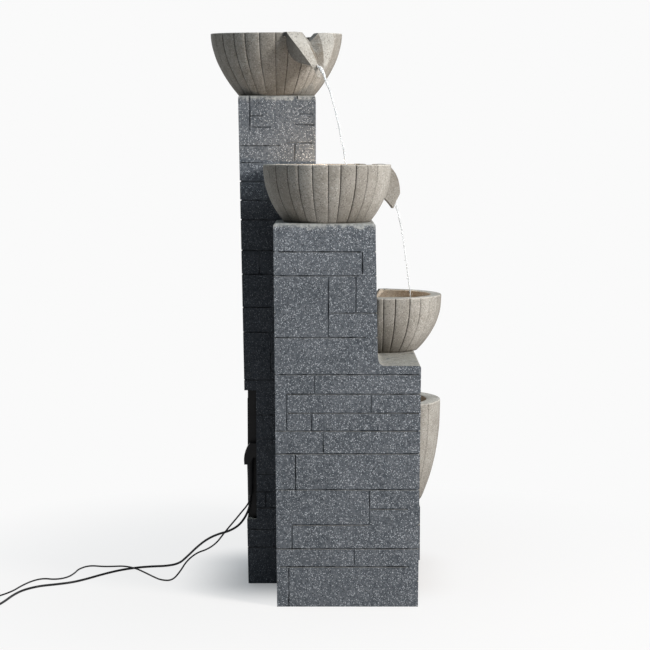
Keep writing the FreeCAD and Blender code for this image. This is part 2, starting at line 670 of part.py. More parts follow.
def bowl_shape(radius, rise, foot_share, curve, wall, centre, rim, spout, clip):
    """Bowl with its foot on a pillar, clipped where it nests against a taller casting."""
    rings = [stave_ring(outline(radius, foot_share, curve, k), -rise * k) for k in LEVELS]
    outer = faceted(rings)
    depth = rise - size.bowl_floor
    hollow_rings = [round_ring(outline(radius - wall, foot_share, curve, k), -depth * k) for k in LEVELS]
    lip = [round_ring(radius - wall, 2)]
    hollow = faceted(lip + hollow_rings)
    trough = None
    if spout is not None:
        spout_angle, drop = spout
        reach = size.spout_reach
        stations = [(radius - wall - 6, 0, size.spout_half, size.spout_depth),
                    (radius - 4, 0, size.spout_half, size.spout_depth),
                    (radius + reach, -drop, size.lip_half, size.lip_depth)]
        beyond = (radius + reach + 8, -drop - 10, 0.8 * size.lip_half, 0.8 * size.lip_depth)
        slab = ruled([flaps(u, z, w, d) for u, z, w, d in stations])
        trough = ruled([channel(u, z, w, d, 6) for u, z, w, d in stations + [beyond]])
        turn = Rotation(Vector(0, 0, 1), spout_angle)
        slab.Placement = Placement(Vector(), turn)
        trough.Placement = Placement(Vector(), turn)
        outer = outer.fuse(slab)
    to_rim = Vector(centre[0], centre[1], rim)
    for piece in (outer, hollow, trough):
        if piece is not None:
            piece.translate(to_rim)
    if clip is not None:
        low, high = clip
        outer = outer.cut(Part.makeBox(*(high - low), low))
        thick = Vector(wall, wall, 0)
        hollow = hollow.cut(Part.makeBox(*(high - low + 2 * thick), low - thick))
    bowl = outer.cut(hollow)
    if trough is not None:
        bowl = bowl.cut(trough)
    return bowl.removeSplitter()


FAR = 600
slack = size.fit_gap
tall_clip = (Vector(tall_x - slack, -size.tall_front - slack, -1), Vector(tall_far_x, FAR, size.tall_height))
column_clip = (Vector(-FAR, -flared_front - slack, 0), Vector(tall_x + slack, FAR, size.column_height))
block_clip = (Vector(-FAR, -size.block_front - slack, 0), Vector(block_far_x + slack, FAR, size.step_height))
top_rim = size.tall_height + size.top_rise
upper_rim = size.column_height + size.upper_rise
lower_rim = size.step_height + size.lower_rise
basin_rim = size.plinth_height + size.basin_rise
# Each: rim radius, rise, foot as a share of the rim, curve, wall, centre, height of the rim,
# the spout's angle and drop, and the casting that the bowl nests against
BOWLS = {
    "top_bowl": (size.top_radius, size.top_rise, 0.565, 1.87, size.bowl_wall,
                 (tall_centre_x, -size.top_front), top_rim, (206.5, size.top_spout_drop), None),
    "upper_bowl": (size.upper_radius, size.upper_rise, 0.67, 2.25, size.bowl_wall,
                   (size.upper_x, -size.upper_front), upper_rim, (-48, size.spout_drop), tall_clip),
    "lower_bowl": (size.lower_radius, size.lower_rise, 0.61, 2.3, size.bowl_wall + 2,
                   (size.lower_x, -size.lower_front), lower_rim, (8.4, size.spout_drop), column_clip),
    "basin_bowl": (size.basin_radius, size.basin_rise, 0.695, 2.4, size.basin_wall,
                   (size.basin_x, -size.basin_front), basin_rim, None, block_clip),
}
BOWL_HOLES = {
    "top_bowl": [inlet_hole],
    "upper_bowl": [upper_stem_hole],
    "lower_bowl": [lower_stem_hole],
    "basin_bowl": [basin_stem_hole, drain_hole],
}
for node, values in BOWLS.items():
    casting = solid(node + "_casting", bowl_shape(*values))
    keep(cut(node + "_cut", casting, BOWL_HOLES[node]), node)

# Sump tub inside the foot of the tall pillar
TUB_LOW = (TALL_X + " + Sizes.wall + 2", "Sizes.wall + 2 - Sizes.tall_front", s("base_thick"))
TUB_HIGH = (TALL_FAR_X + " - Sizes.wall - 2", "-%s - Sizes.wall - 2" % TALL_BACK_LOW,
            "Sizes.base_thick + Sizes.tub_height")
tub_outer = box("tub_outer", TUB_LOW, TUB_HIGH)
tub_inner = box("tub_inner", ["%s + Sizes.tub_wall" % text for text in TUB_LOW],
                ["%s - Sizes.tub_wall" % text for text in TUB_HIGH[:2]] + [TUB_HIGH[2] + " + 1"])
tub_pipe_hole = rod("tub_pipe_hole", "Sizes.drain_radius + 0.3", "Sizes.tub_wall + 4",
                    (s("return_x"), TUB_LOW[1] + " - 2", s("return_level")), TO_Y)
keep(cut("sump_tub_cut", tub_outer, [tub_inner, tub_pipe_hole]), "sump_tub")

# Pump on four suction feet in the tub, with its shaft along X
TUB_FLOOR = "(Sizes.base_thick + Sizes.tub_wall)"
PUMP_LOW = "(%s + Sizes.foot_rise)" % TUB_FLOOR
PUMP_BACK_X = "(Sizes.pump_front_x - Sizes.pump_length)"
SHAFT_Z = "(%s + Sizes.pump_rise / 2)" % PUMP_LOW
HALF_WIDTH = "Sizes.pump_width / 2"
VOLUTE_X = "(%s + Sizes.tall_width / 2)" % TALL_X
pump_body = box("pump_body", (PUMP_BACK_X, PUMP_Y + " - " + HALF_WIDTH, PUMP_LOW),
                (s("pump_front_x"), PUMP_Y + " + " + HALF_WIDTH, PUMP_LOW + " + Sizes.pump_rise"))
volute = rod("volute", "Sizes.blade_radius + 2.5", "Sizes.pump_front_x - %s + 10" % VOLUTE_X,
             (VOLUTE_X + " - Sizes.blade_length / 2 - 1", PUMP_Y, SHAFT_Z), TO_X)
rotor_well = rod("rotor_well", "Sizes.rotor_radius + 0.8", "Sizes.rotor_length + 3",
                 (VOLUTE_X + " - Sizes.blade_length / 2 - 3 - Sizes.rotor_length", PUMP_Y, SHAFT_Z), TO_X)
outlet_bore = rod("outlet_bore", "4", "Sizes.pump_rise", (VOLUTE_X, PUMP_Y, SHAFT_Z))
KNOB_X = "(%s + 14)" % PUMP_BACK_X
PUMP_TOP = "(%s + Sizes.pump_rise)" % PUMP_LOW
knob_bore = rod("knob_bore", "2.5 + Sizes.running_gap", "9", (KNOB_X, PUMP_Y, PUMP_TOP + " - 8"))
keep(cut("pump_housing_cut", pump_body, [volute, rotor_well, outlet_bore, knob_bore]), "pump_housing")

knob_stem = rod("knob_stem", "2.5", "7", (KNOB_X, PUMP_Y, PUMP_TOP + " - 6.5"))
knob_disc = rod("knob_disc", "8", "5", (KNOB_X, PUMP_Y, PUMP_TOP + " + 0.3"))
knob_grip = box("knob_grip", (KNOB_X + " - 7", PUMP_Y + " - 1.5", PUMP_TOP + " + 5"),
                (KNOB_X + " + 7", PUMP_Y + " + 1.5", PUMP_TOP + " + 9"))
keep(fuse("flow_knob_parts", [knob_stem, knob_disc, knob_grip]), "flow_knob")

ROTOR_X = "(%s - Sizes.blade_length / 2 - 1.5 - Sizes.rotor_length)" % VOLUTE_X
rotor = rod("rotor", s("rotor_radius"), "Sizes.rotor_length + 1", (ROTOR_X, PUMP_Y, SHAFT_Z), TO_X)
blade_x = tall_centre_x - size.blade_length / 2
shaft_z = size.base_thick + size.tub_wall + size.foot_rise + size.pump_rise / 2
blade_solids = []
BLADES = 6
for index in range(BLADES):
    blade = Part.makeBox(size.blade_length, size.blade_radius, 1.6, Vector(blade_x, 0, -0.8))
    blade.rotate(Vector(), Vector(1, 0, 0), index * 360 / BLADES)
    blade_solids.append(blade)
blades = solid("blades", blade_solids[0].multiFuse(blade_solids[1:]))
place(blades, "0", PUMP_Y, SHAFT_Z)
hub = rod("hub", "4", s("blade_length"),
          (VOLUTE_X + " - Sizes.blade_length / 2 - 0.5", PUMP_Y, SHAFT_Z), TO_X)
impeller_bore = rod("impeller_bore", "Sizes.shaft_radius + Sizes.running_gap", s("pump_length"),
                    (PUMP_BACK_X, PUMP_Y, SHAFT_Z), TO_X)
keep(cut("impeller_cut", fuse("impeller_whole", [rotor, blades, hub]), [impeller_bore]), "impeller")
keep(rod("impeller_shaft_rod", s("shaft_radius"), "Sizes.rotor_length + Sizes.blade_length + 3",
         (VOLUTE_X + " - Sizes.blade_length / 2 - 3 - Sizes.rotor_length", PUMP_Y, SHAFT_Z), TO_X),
     "impeller_shaft")

# Slotted intake cover that slides off the pump's end
COVER_X = "(Sizes.pump_front_x + 0.3)"
intake_outer = box("intake_outer", (COVER_X, PUMP_Y + " - " + HALF_WIDTH, PUMP_LOW),
                   (COVER_X + " + Sizes.strainer_length", PUMP_Y + " + " + HALF_WIDTH, PUMP_TOP))
intake_inner = box("intake_inner",
                   (COVER_X + " - 1", PUMP_Y + " - %s + 2.5" % HALF_WIDTH, PUMP_LOW + " + 2.5"),
                   (COVER_X + " + Sizes.strainer_length - 2.5", PUMP_Y + " + %s - 2.5" % HALF_WIDTH,
                    PUMP_TOP + " - 2.5"))
SLOTS = 6
SLOT_PITCH = 7
SLOT_WIDTH = 3
slots = []
for index in range(SLOTS):
    slot_side = 6 + SLOT_PITCH * index
    slots.append(box("slot_%d" % index,
                     (COVER_X + " + 3", PUMP_Y + " - %s + %g" % (HALF_WIDTH, slot_side), PUMP_LOW + " + 7"),
                     (COVER_X + " + Sizes.strainer_length + 1",
                      PUMP_Y + " - %s + %g" % (HALF_WIDTH, slot_side + SLOT_WIDTH), PUMP_TOP + " - 7")))
keep(cut("pump_cover_cut", intake_outer, [intake_inner] + slots), "pump_cover")

feet = []
for side_x in ("%s + 9" % PUMP_BACK_X, "Sizes.pump_front_x - 9"):
    for side_y in ("- 15", "+ 15"):
        foot = doc.addObject("Part::Prism", "suction_foot_%d" % len(feet))
        foot.Polygon = 12
        foot.Circumradius = 7
        foot.setExpression("Height", s("foot_rise"))
        feet.append(place(foot, side_x, PUMP_Y + side_y, TUB_FLOOR))
feet_group = doc.addObject("Part::Compound", "feet_group")
feet_group.Links = feet
keep(feet_group, "suction_feet")

# Riser: pump outlet, hose, clamps and the inlet through the top bowl
OUTLET_TOP = "(%s + 20)" % PUMP_TOP
HOSE_LOW = "(%s + 5)" % PUMP_TOP
INLET_LOW = "(Sizes.tall_height - Sizes.top_wall - 14)"
outlet_pipe = rod("outlet_pipe", s("barb_radius"), "20", (VOLUTE_X, PUMP_Y, PUMP_TOP))
outlet_collar = rod("outlet_collar", "Sizes.barb_radius + 2.5", "5", (VOLUTE_X, PUMP_Y, PUMP_TOP))
outlet_hole = rod("outlet_hole", "4", "22", (VOLUTE_X, PUMP_Y, PUMP_TOP + " - 1"))
keep(cut("pump_outlet_cut", fuse("pump_outlet_whole", [outlet_pipe, outlet_collar]), [outlet_hole]),
     "pump_outlet")
hose_outer = rod("hose_outer", "Sizes.hose_bore + Sizes.hose_wall", "%s - %s" % (INLET_LOW, HOSE_LOW),
                 (VOLUTE_X, PUMP_Y, HOSE_LOW))
hose_inner = rod("hose_inner", s("hose_bore"), "%s - %s + 2" % (INLET_LOW, HOSE_LOW),
                 (VOLUTE_X, PUMP_Y, HOSE_LOW + " - 1"))
keep(cut("riser_hose_cut", hose_outer, [hose_inner]), "riser_hose")
rings = []
HOSE_OUTSIDE = "Sizes.hose_bore + Sizes.hose_wall"
for level in (HOSE_LOW + " + 5", INLET_LOW + " - 12"):
    tag = str(len(rings))
    band = rod("clamp_band_" + tag, HOSE_OUTSIDE + " + 1.05", "7", (VOLUTE_X, PUMP_Y, level))
    worm = box("clamp_worm_" + tag,
               (VOLUTE_X + " - 5", PUMP_Y + " + " + HOSE_OUTSIDE + " + 0.6", level),
               (VOLUTE_X + " + 5", PUMP_Y + " + " + HOSE_OUTSIDE + " + 6", level + " + 7"))
    bore = rod("clamp_bore_" + tag, HOSE_OUTSIDE + " + 0.05", "9", (VOLUTE_X, PUMP_Y, level + " - 1"))
    rings.append(cut("clamp_" + tag, fuse("clamp_whole_" + tag, [band, worm]), [bore]))
clamp_group = doc.addObject("Part::Compound", "clamp_group")
clamp_group.Links = rings
keep(clamp_group, "hose_clamps")

SEAL_THICK = "2"
BOWL_FLOOR_TOP = "(Sizes.tall_height + Sizes.bowl_floor)"
inlet_flange = rod("inlet_flange", s("flange_radius"), s("flange_thick"),
                   (VOLUTE_X, PUMP_Y, BOWL_FLOOR_TOP + " + " + SEAL_THICK))
inlet_shank = rod("inlet_shank", s("inlet_radius"), "%s + 3 - %s" % (BOWL_FLOOR_TOP, INLET_LOW),
                  (VOLUTE_X, PUMP_Y, INLET_LOW))
inlet_tail = rod("inlet_tail", s("barb_radius"), "22", (VOLUTE_X, PUMP_Y, INLET_LOW + " - 20"))
inlet_bore = rod("inlet_bore", "4", "90", (VOLUTE_X, PUMP_Y, INLET_LOW + " - 21"))
keep(cut("bowl_inlet_cut", fuse("bowl_inlet_whole", [inlet_flange, inlet_shank, inlet_tail]), [inlet_bore]),
     "bowl_inlet")


def nut(name, radius, bore, thick, x, y, z):
    """Hexagon nut with its bore, standing on a point."""
    body = doc.addObject("Part::Prism", name + "_hexagon")
    body.Polygon = 6
    body.setExpression("Circumradius", radius)
    body.setExpression("Height", thick)
    place(body, x, y, z)
    return cut(name + "_cut", body, [rod(name + "_bore", bore, "%s + 2" % thick, (x, y, z + " - 1"))])


NUT_THICK = "7"
keep(nut("inlet_nut", "Sizes.inlet_radius + 6", "Sizes.inlet_radius + 0.05", NUT_THICK, VOLUTE_X, PUMP_Y,
         "Sizes.tall_height - Sizes.top_wall - " + NUT_THICK), "inlet_nut")
seal_ring = rod("seal_ring", "Sizes.flange_radius - 0.5", SEAL_THICK, (VOLUTE_X, PUMP_Y, BOWL_FLOOR_TOP))
seal_bore = rod("seal_bore", "Sizes.inlet_radius + 0.1", "4", (VOLUTE_X, PUMP_Y, BOWL_FLOOR_TOP + " - 1"))
keep(cut("inlet_seal_cut", seal_ring, [seal_bore]), "inlet_seal")

# Basin drain, its nut, its lift-out strainer and the return pipe to the sump
DRAIN_Y = "(-Sizes.drain_front)"
BASIN_FLOOR_TOP = "(Sizes.plinth_height + Sizes.bowl_floor)"
DRAIN_LOW = "(Sizes.plinth_height - Sizes.top_wall - 12)"
drain_flange = rod("drain_flange", "Sizes.flange_radius - 2", "3", (s("drain_x"), DRAIN_Y, BASIN_FLOOR_TOP))
drain_tube = rod("drain_tube", s("drain_radius"), "%s + 1 - %s" % (BASIN_FLOOR_TOP, DRAIN_LOW),
                 (s("drain_x"), DRAIN_Y, DRAIN_LOW))
drain_through = rod("drain_through", s("drain_bore"), "80", (s("drain_x"), DRAIN_Y, DRAIN_LOW + " - 1"))
keep(cut("basin_drain_cut", fuse("basin_drain_whole", [drain_flange, drain_tube]), [drain_through]),
     "basin_drain")
keep(nut("drain_nut", "Sizes.drain_radius + 5", "Sizes.drain_radius + 0.05", "6", s("drain_x"), DRAIN_Y,
         "Sizes.plinth_height - Sizes.top_wall - 6"), "drain_nut")
strainer_cap = cone("strainer_cap", "Sizes.flange_radius - 3", "6", "8",
                    (s("drain_x"), DRAIN_Y, BASIN_FLOOR_TOP + " + 3.3"))
strainer_spigot = rod("strainer_spigot", "Sizes.drain_bore - 0.4", "16",
                      (s("drain_x"), DRAIN_Y, BASIN_FLOOR_TOP + " - 11"))
strainer_slots = []
for index in range(3):
    slot = doc.addObject("Part::Box", "strainer_slot_%d" % index)
    slot.setExpression("Length", "2 * Sizes.flange_radius")
    slot.Width = 2.4
    slot.Height = 3.6
    place(slot, "Sizes.drain_x - Sizes.flange_radius", "-Sizes.drain_front - 6 - 1.2 + %d" % (6 * index),
          BASIN_FLOOR_TOP + " + 5.5")
    strainer_slots.append(slot)
strainer_bore = rod("strainer_bore", "Sizes.drain_bore - 2.2", "18",
                    (s("drain_x"), DRAIN_Y, BASIN_FLOOR_TOP + " - 12"))
keep(cut("drain_strainer_cut", fuse("drain_strainer_whole", [strainer_cap, strainer_spigot]),
         strainer_slots + [strainer_bore]), "drain_strainer")

drain_y = -size.drain_front
drain_end = size.plinth_height - size.top_wall - 12
tub_front_y = size.wall + 2 - size.tall_front
level = size.return_level
return_route = [Vector(size.drain_x, drain_y, drain_end), Vector(size.drain_x, drain_y, level),
                Vector(size.return_x, drain_y, level), Vector(size.return_x, tub_front_y + 6, level)]
return_path, return_bend = rounded_path(return_route, 13)
return_body = swept(return_path, size.drain_radius, 10).cut(swept(return_path, size.drain_bore, 10))
keep(solid("return_pipe_solid", return_body), "return_pipe")

# Lamps on the floors of the three lower bowls: housing with a stem, and its lens
LAMPS = {
    "upper": (s("upper_x"), "-Sizes.upper_front", s("column_height")),
    "lower": (s("lower_x"), "-Sizes.lower_front", s("step_height")),
    "basin": (s("basin_x"), "-Sizes.basin_front", s("plinth_height")),
}
for name, (x, y, seat) in LAMPS.items():
    floor_top = "(%s + Sizes.bowl_floor)" % seat
    stem_low = "(%s - Sizes.top_wall - Sizes.stem_tail)" % seat
    puck = rod("lamp_puck_" + name, s("lamp_radius"), s("lamp_rise"), (x, y, floor_top))
    stem = rod("lamp_stem_" + name, s("stem_radius"), "%s + 2 - %s" % (floor_top, stem_low), (x, y, stem_low))
    seat_cut = rod("lens_seat_" + name, "Sizes.lens_radius + 0.1", "Sizes.lens_rise + 1",
                   (x, y, floor_top + " + Sizes.lamp_rise - Sizes.lens_rise"))
    keep(cut("lamp_%s_cut" % name, fuse("lamp_%s_whole" % name, [puck, stem]), [seat_cut]),
         "lamp_housing_" + name)
    keep(rod("lens_%s_disc" % name, s("lens_radius"), "Sizes.lens_rise + 0.6",
             (x, y, floor_top + " + Sizes.lamp_rise - Sizes.lens_rise")), "lamp_lens_" + name)

# Splitter box on the flank wall of the tall pillar, and the cables that reach it
SPLITTER_LOW = (TALL_X + " + Sizes.wall", "62", s("splitter_low"))
SPLITTER_HIGH = (TALL_X + " + Sizes.wall + 18", "102", "Sizes.splitter_low + Sizes.splitter_rise")
keep(box("splitter_box", SPLITTER_LOW, SPLITTER_HIGH), "lamp_splitter")
splitter_x = tall_x + size.wall + 18
splitter_y = 62


def lamp_cable(node, seat, middle):
    """Cable from the foot of a lamp's stem to the splitter."""
    x, y, top = seat
    stem_low = top - size.top_wall - size.stem_tail
    points = [Vector(x, y, stem_low)] + [Vector(*p) for p in middle]
    body, length, bend = tube(points, size.cable_radius, 6, 20)
    print("%s: %.0f mm, radius %.1f" % (node, length, bend))
    keep(solid(node + "_solid", body), node)


cable_y, cable_z = upper_cable_hole
lamp_cable("lamp_cable_upper", (size.upper_x, -size.upper_front, size.column_height),
           [(size.upper_x, -size.upper_front, 380), (tall_x - 32, cable_y, cable_z),
            (tall_x + size.wall + 9, cable_y, cable_z), (tall_x + size.wall + 9, splitter_y, cable_z)])
cable_x, cable_z = lower_cable_hole
lamp_cable("lamp_cable_lower", (size.lower_x, -size.lower_front, size.step_height),
           [(size.lower_x, -size.lower_front, 340), (cable_x, -30, cable_z),
            (cable_x, 56, cable_z), (cable_x - 34, splitter_y + 6, cable_z),
            (splitter_x, splitter_y + 6, cable_z)])
cable_y, cable_z = basin_cable_hole
pass_x, pass_z = basin_cable_pass
lamp_cable("lamp_cable_basin", (size.basin_x, -size.basin_front, size.plinth_height),
           [(size.basin_x, -size.basin_front, cable_z), (block_far_x + 30, cable_y, cable_z),
            (block_far_x - 30, cable_y, cable_z), (pass_x, -40, pass_z), (pass_x, 46, pass_z),
            (pass_x - 40, splitter_y + 6, 284), (splitter_x, splitter_y + 6, 284)])

# Service cover: a tray that closes the back, with a hood over the cords at its near corner
COVER_NEAR_X = "(%s + Sizes.cover_inset_near)" % TALL_X
COVER_FAR_X = "(%s - Sizes.cover_inset_far)" % TALL_FAR_X
cover_outer = box("cover_outer", (COVER_NEAR_X, "-Sizes.service_front + 0.3", "Sizes.service_low + 0.5"),
                  (COVER_FAR_X, "-Sizes.cover_back", "Sizes.service_high - 0.5"))
cover_inner = box("cover_inner", (COVER_NEAR_X + " + Sizes.cover_wall", "-Sizes.service_front - 1",
                                  "Sizes.service_low + 0.5 + Sizes.cover_wall"),
                  (COVER_FAR_X + " - Sizes.cover_wall", "-Sizes.cover_back - Sizes.cover_wall",
                   "Sizes.service_high - 0.5 - Sizes.cover_wall"))
cover_tray = cut("cover_tray", cover_outer, [cover_inner])
cover_near_x = tall_x + size.cover_inset_near
cover_face_y = -size.cover_back
edge_y = -size.service_front + 0.3
hood_near_x = tall_x + 1


def hood_profile(x, inset):
    """Outline of the cord hood seen from the flank: a curved back over an open underside."""
    bulge = cover_face_y + size.hood_bulge - inset
    top = size.hood_high - inset
    back = Part.Arc(Vector(x, cover_face_y - 4, top),
                    Vector(x, cover_face_y + size.hood_bulge * 0.62 - inset, top - 14),
                    Vector(x, bulge, size.hood_low + 3)).toShape()
    past = 1 if inset else 0
    low = size.hood_low - past
    corners = [Vector(x, bulge, size.hood_low + 3), Vector(x, bulge, low), Vector(x, edge_y - past, low),
               Vector(x, edge_y - past, top), Vector(x, cover_face_y - 4, top)]
    sides = [Part.LineSegment(a, b).toShape() for a, b in zip(corners, corners[1:])]
    return Part.Face(Part.Wire([back] + sides))


hood_shell = hood_profile(hood_near_x, 0).extrude(Vector(cover_near_x - hood_near_x + 1, 0, 0))
hood_hollow = hood_profile(hood_near_x + 2, 2).extrude(Vector(cover_near_x - hood_near_x - 2, 0, 0))
mouth_x = hood_near_x - 1
mouth_low = size.hood_low - 1
mouth_high = size.hood_low + 13
hood_mouth = prism([Vector(mouth_x, edge_y - 1, mouth_low), Vector(mouth_x, 138, mouth_low),
                    Vector(mouth_x, 131, mouth_high), Vector(mouth_x, edge_y - 1, mouth_high)],
                   Vector(4, 0, 0))
hood = solid("hood", hood_shell.cut([hood_hollow, hood_mouth]))
cord_notch = box("cord_notch",
                 (COVER_NEAR_X + " - 0.01", "-Sizes.service_front - 1", "Sizes.gland_low - 0.5"),
                 (COVER_NEAR_X + " + Sizes.cover_wall", "-Sizes.cover_back + 0.01",
                  "Sizes.gland_low + Sizes.gland_rise + 0.5"))
RIBS = 4
RIB_STEP = 26
cover_ribs = []
for index in range(RIBS):
    rib_side = RIB_STEP * index
    cover_ribs.append(box("cover_rib_%d" % index,
                          (COVER_NEAR_X + " + 18 + %d" % rib_side, "-Sizes.cover_back - 0.5",
                           "Sizes.service_low + 20"),
                          (COVER_NEAR_X + " + 22 + %d" % rib_side, "1.5 - Sizes.cover_back",
                           "Sizes.service_high - 20")))
cover_whole = fuse("cover_whole", [cover_tray, hood] + cover_ribs)
keep(cut("access_cover_cut", cover_whole, [cord_notch]), "access_cover")

# Gland on the casting's edge and the tapered boot below it
keep(box("cord_gland_block", (TALL_X + " + 4", "-Sizes.service_front", s("gland_low")),
         (COVER_NEAR_X + " + 2.5", "-Sizes.cover_back - 2", "Sizes.gland_low + Sizes.gland_rise")),
     "cord_gland")
boot_x = tall_x + 10.5
boot_y = -size.cover_back - 4.5


def ring_at(x, y, z, radius, sides):
    """Regular polygon that lies flat."""
    return [Vector(x + radius * math.cos(2 * math.pi * k / sides),
                   y + radius * math.sin(2 * math.pi * k / sides), z) for k in range(sides)]


boot_middle = (size.boot_low + size.gland_low) / 2
boot_waist = 0.94 * (size.boot_low_radius + size.boot_top_radius) / 2
keep(solid("cord_boot_solid", faceted([ring_at(boot_x, boot_y, z, radius, 14) for z, radius in (
    (size.boot_low, size.boot_low_radius), (boot_middle, boot_waist),
    (size.gland_low, size.boot_top_radius))])), "cord_boot")

# Leads inside the pillar: from the pump and from the splitter to the gland
gland_x = tall_x + size.wall
gland_y = -size.service_front
gland_z = size.gland_low
pump_top = size.base_thick + size.tub_wall + size.foot_rise + size.pump_rise
pump_back_x = size.pump_front_x - size.pump_length
lead_x = pump_back_x + 6
lead_y = pump_y + 18
pump_lead_route = [(lead_x, lead_y, pump_top), (lead_x, lead_y, pump_top + 60),
                   (lead_x + 5, lead_y - 4, pump_top + 105), (lead_x - 1, lead_y - 7, gland_z - 36),
                   (gland_x + 12, gland_y - 24, gland_z - 16), (gland_x + 9, gland_y - 19, gland_z - 2.5),
                   (gland_x + 8.3, gland_y - 11, gland_z + 3.4), (gland_x + 8.3, gland_y, gland_z + 3.4)]
splitter_lead_route = [(splitter_x - 9, 92, size.splitter_low), (splitter_x - 9, 92, size.splitter_low - 12),
                       (splitter_x - 11, 99, size.splitter_low - 21),
                       (gland_x + 3, gland_y - 14, gland_z + 8.6), (gland_x + 3, gland_y, gland_z + 8.6)]
for node, route, radius in (("pump_lead", pump_lead_route, size.lead_radius),
                            ("lamp_lead", splitter_lead_route, size.cable_radius)):
    body, length, smallest = tube([Vector(*p) for p in route], radius)
    print("%s: %.0f mm, smallest radius %.1f" % (node, length, smallest))
    keep(solid(node + "_solid", body), node)

# Free cords: from the boot to the floor and away behind the fountain
boot_z = size.boot_low
LAMP_CORD_ROUTE = [
    (boot_x - 2.6, boot_y, boot_z), (boot_x - 2.6, boot_y, boot_z - 8), (1, 143, 143), (3, 153, 131),
    (6, 163, 118), (11, 175, 103), (19, 187, 87), (27, 201, 67), (35, 219, 53), (37, 239, 46),
    (26, 257, 33), (11, 267, 18), (0, 281, 3), (9, 303, 1.5), (34, 320, 1.5), (60, 336, 1.5),
    (78, 357, 6), (86, 380, 8.5), (96, 403, 5), (109, 424, 1.5), (117, 450, 1.5), (92, 467, 1.5),
    (58, 470, 1.5), (27, 479, 1.5), (13, 499, 1.5), (22, 523, 1.5), (2, 541, 1.5), (-33, 554, 1.5),
    (-66, 562, 1.5), (-97, 578, 1.5), (-118, 599, 1.5), (-128, 624, 1.5)]
PUMP_CORD_ROUTE = [
    (boot_x + 1.8, boot_y, boot_z), (boot_x + 1.8, boot_y, boot_z - 13), (5, 140, 135), (6, 148, 118),
    (15, 160, 102), (24, 178, 90), (34, 200, 82), (47, 221, 69), (63, 240, 51), (83, 259, 29),
    (103, 277, 9), (111, 302, 2.1), (108, 329, 2.1), (99, 358, 2.1), (79, 389, 2.1), (44, 420, 2.1),
    (14, 442, 2.1), (-9, 464, 2.1), (-23, 491, 2.1), (-35, 521, 2.1), (-62, 545, 2.1), (-98, 557, 2.1),
    (-135, 563, 2.1), (-171, 573, 2.1), (-201, 590, 2.1), (-224, 613, 2.1)]
COIL_GAP = 1.4


def half_turn_arcs(first, first_way, last, last_way):
    """Two arcs that leave a point and reach the next one along given headings."""
    chord = last - first
    ways = first_way + last_way
    a = ways.dot(ways) - 4
    b = -2 * chord.dot(ways)
    reach = (-b - math.sqrt(b * b - 4 * a * chord.dot(chord))) / (2 * a)
    near_corner = first + first_way * reach
    far_corner = last - last_way * reach
    joint = (near_corner + far_corner) / 2
    return [tangent_arc(first, near_corner, joint)[0], tangent_arc(joint, far_corner, last)[0]]


def coil_path(start, heading, turning, radius, middle_radius, loops):
    """Two layers of loops: in on the floor, one climb, and out again on top of them."""
    pitch = 2 * radius + COIL_GAP
    outer = middle_radius + pitch * loops / 2
    stops = []
    count = 2 * loops
    for k in range(2 * count + 3):
        inward = min(k, count) - max(k - count - 1, 0)
        reach = outer - pitch * inward / 2
        slope = 0 if k in (count, count + 1) else (-1 if k < count else 1) * pitch / (2 * math.pi)
        angle = turning * math.pi * k
        out = Vector(math.cos(angle), math.sin(angle), 0)
        round_way = Vector(-math.sin(angle), math.cos(angle), 0) * turning
        height = radius if k <= count else 3 * radius + COIL_GAP
        stops.append((out * reach + Vector(0, 0, height), (round_way * reach + out * slope).normalize()))
    way = stops[0][1]
    bearing = math.atan2(heading.y, heading.x) - math.atan2(way.y, way.x)
    turn = Rotation(Vector(0, 0, 1), math.degrees(bearing))
    begin = start + heading * 2 * radius
    shift = Vector(begin.x, begin.y, 0) - turn.multVec(Vector(stops[0][0].x, stops[0][0].y, 0))
    stops = [(turn.multVec(point) + shift, turn.multVec(direction)) for point, direction in stops]
    edges = [Part.LineSegment(start, stops[0][0]).toShape()]
    for (first, first_way), (last, last_way) in zip(stops, stops[1:]):
        edges += half_turn_arcs(first, first_way, last, last_way)
    end = stops[-1][0] + stops[-1][1] * 2 * radius
    edges.append(Part.LineSegment(stops[-1][0], end).toShape())
    return Part.Wire(edges), end, stops[-1][1]


def own_gap(path, radius, turn_length):
    """Least distance between the loops of a coil, measured on points along it."""
    spots = []
    run = 0
    for edge in path.Edges:
        for share in range(8):
            at = edge.FirstParameter + (edge.LastParameter - edge.FirstParameter) * share / 8
            spots.append((run + edge.Length * share / 8, edge.valueAt(at)))
        run += edge.Length
    least = min((p - q).Length for i, (u, p) in enumerate(spots) for v, q in spots[i + 1:]
                if v - u > turn_length)
    return least - 2 * radius


# The length that lies beyond the view is wound in a coil. Each: route, radius of the cord,
# middle radius of the coil, loops in each of its two layers and the way it winds
CORDS = {
    "lamp_cord": (LAMP_CORD_ROUTE, size.cable_radius, 18, 2, -1),
    "pump_cord": (PUMP_CORD_ROUTE, size.lead_radius, 25, 2, -1),
}
coil_ends = {}
for node, (route, radius, middle_radius, loops, turning) in CORDS.items():
    points = [Vector(*p) for p in route]
    body, length, smallest = tube(points, radius)
    keep(solid(node + "_solid", body), node)
    heading = (points[-1] - points[-2]).normalize()
    path, end, way = coil_path(points[-1], heading, turning, radius, middle_radius, loops)
    keep(solid(node + "_coil_solid", swept(path, radius, 6)), node + "_coil")
    coil_ends[node] = (end, way)
    print("%s: %.0f mm, smallest radius %.1f; coil %.0f mm, gap %.2f mm"
          % (node, length, smallest, path.Length, own_gap(path, radius, 2 * middle_radius)))


def at_cord_end(obj, node):
    """Lays an object, drawn along +X from its cord's end, at the end of a coil."""
    end, way = coil_ends[node]
    obj.Placement = Placement(end, Rotation(Vector(1, 0, 0), way))


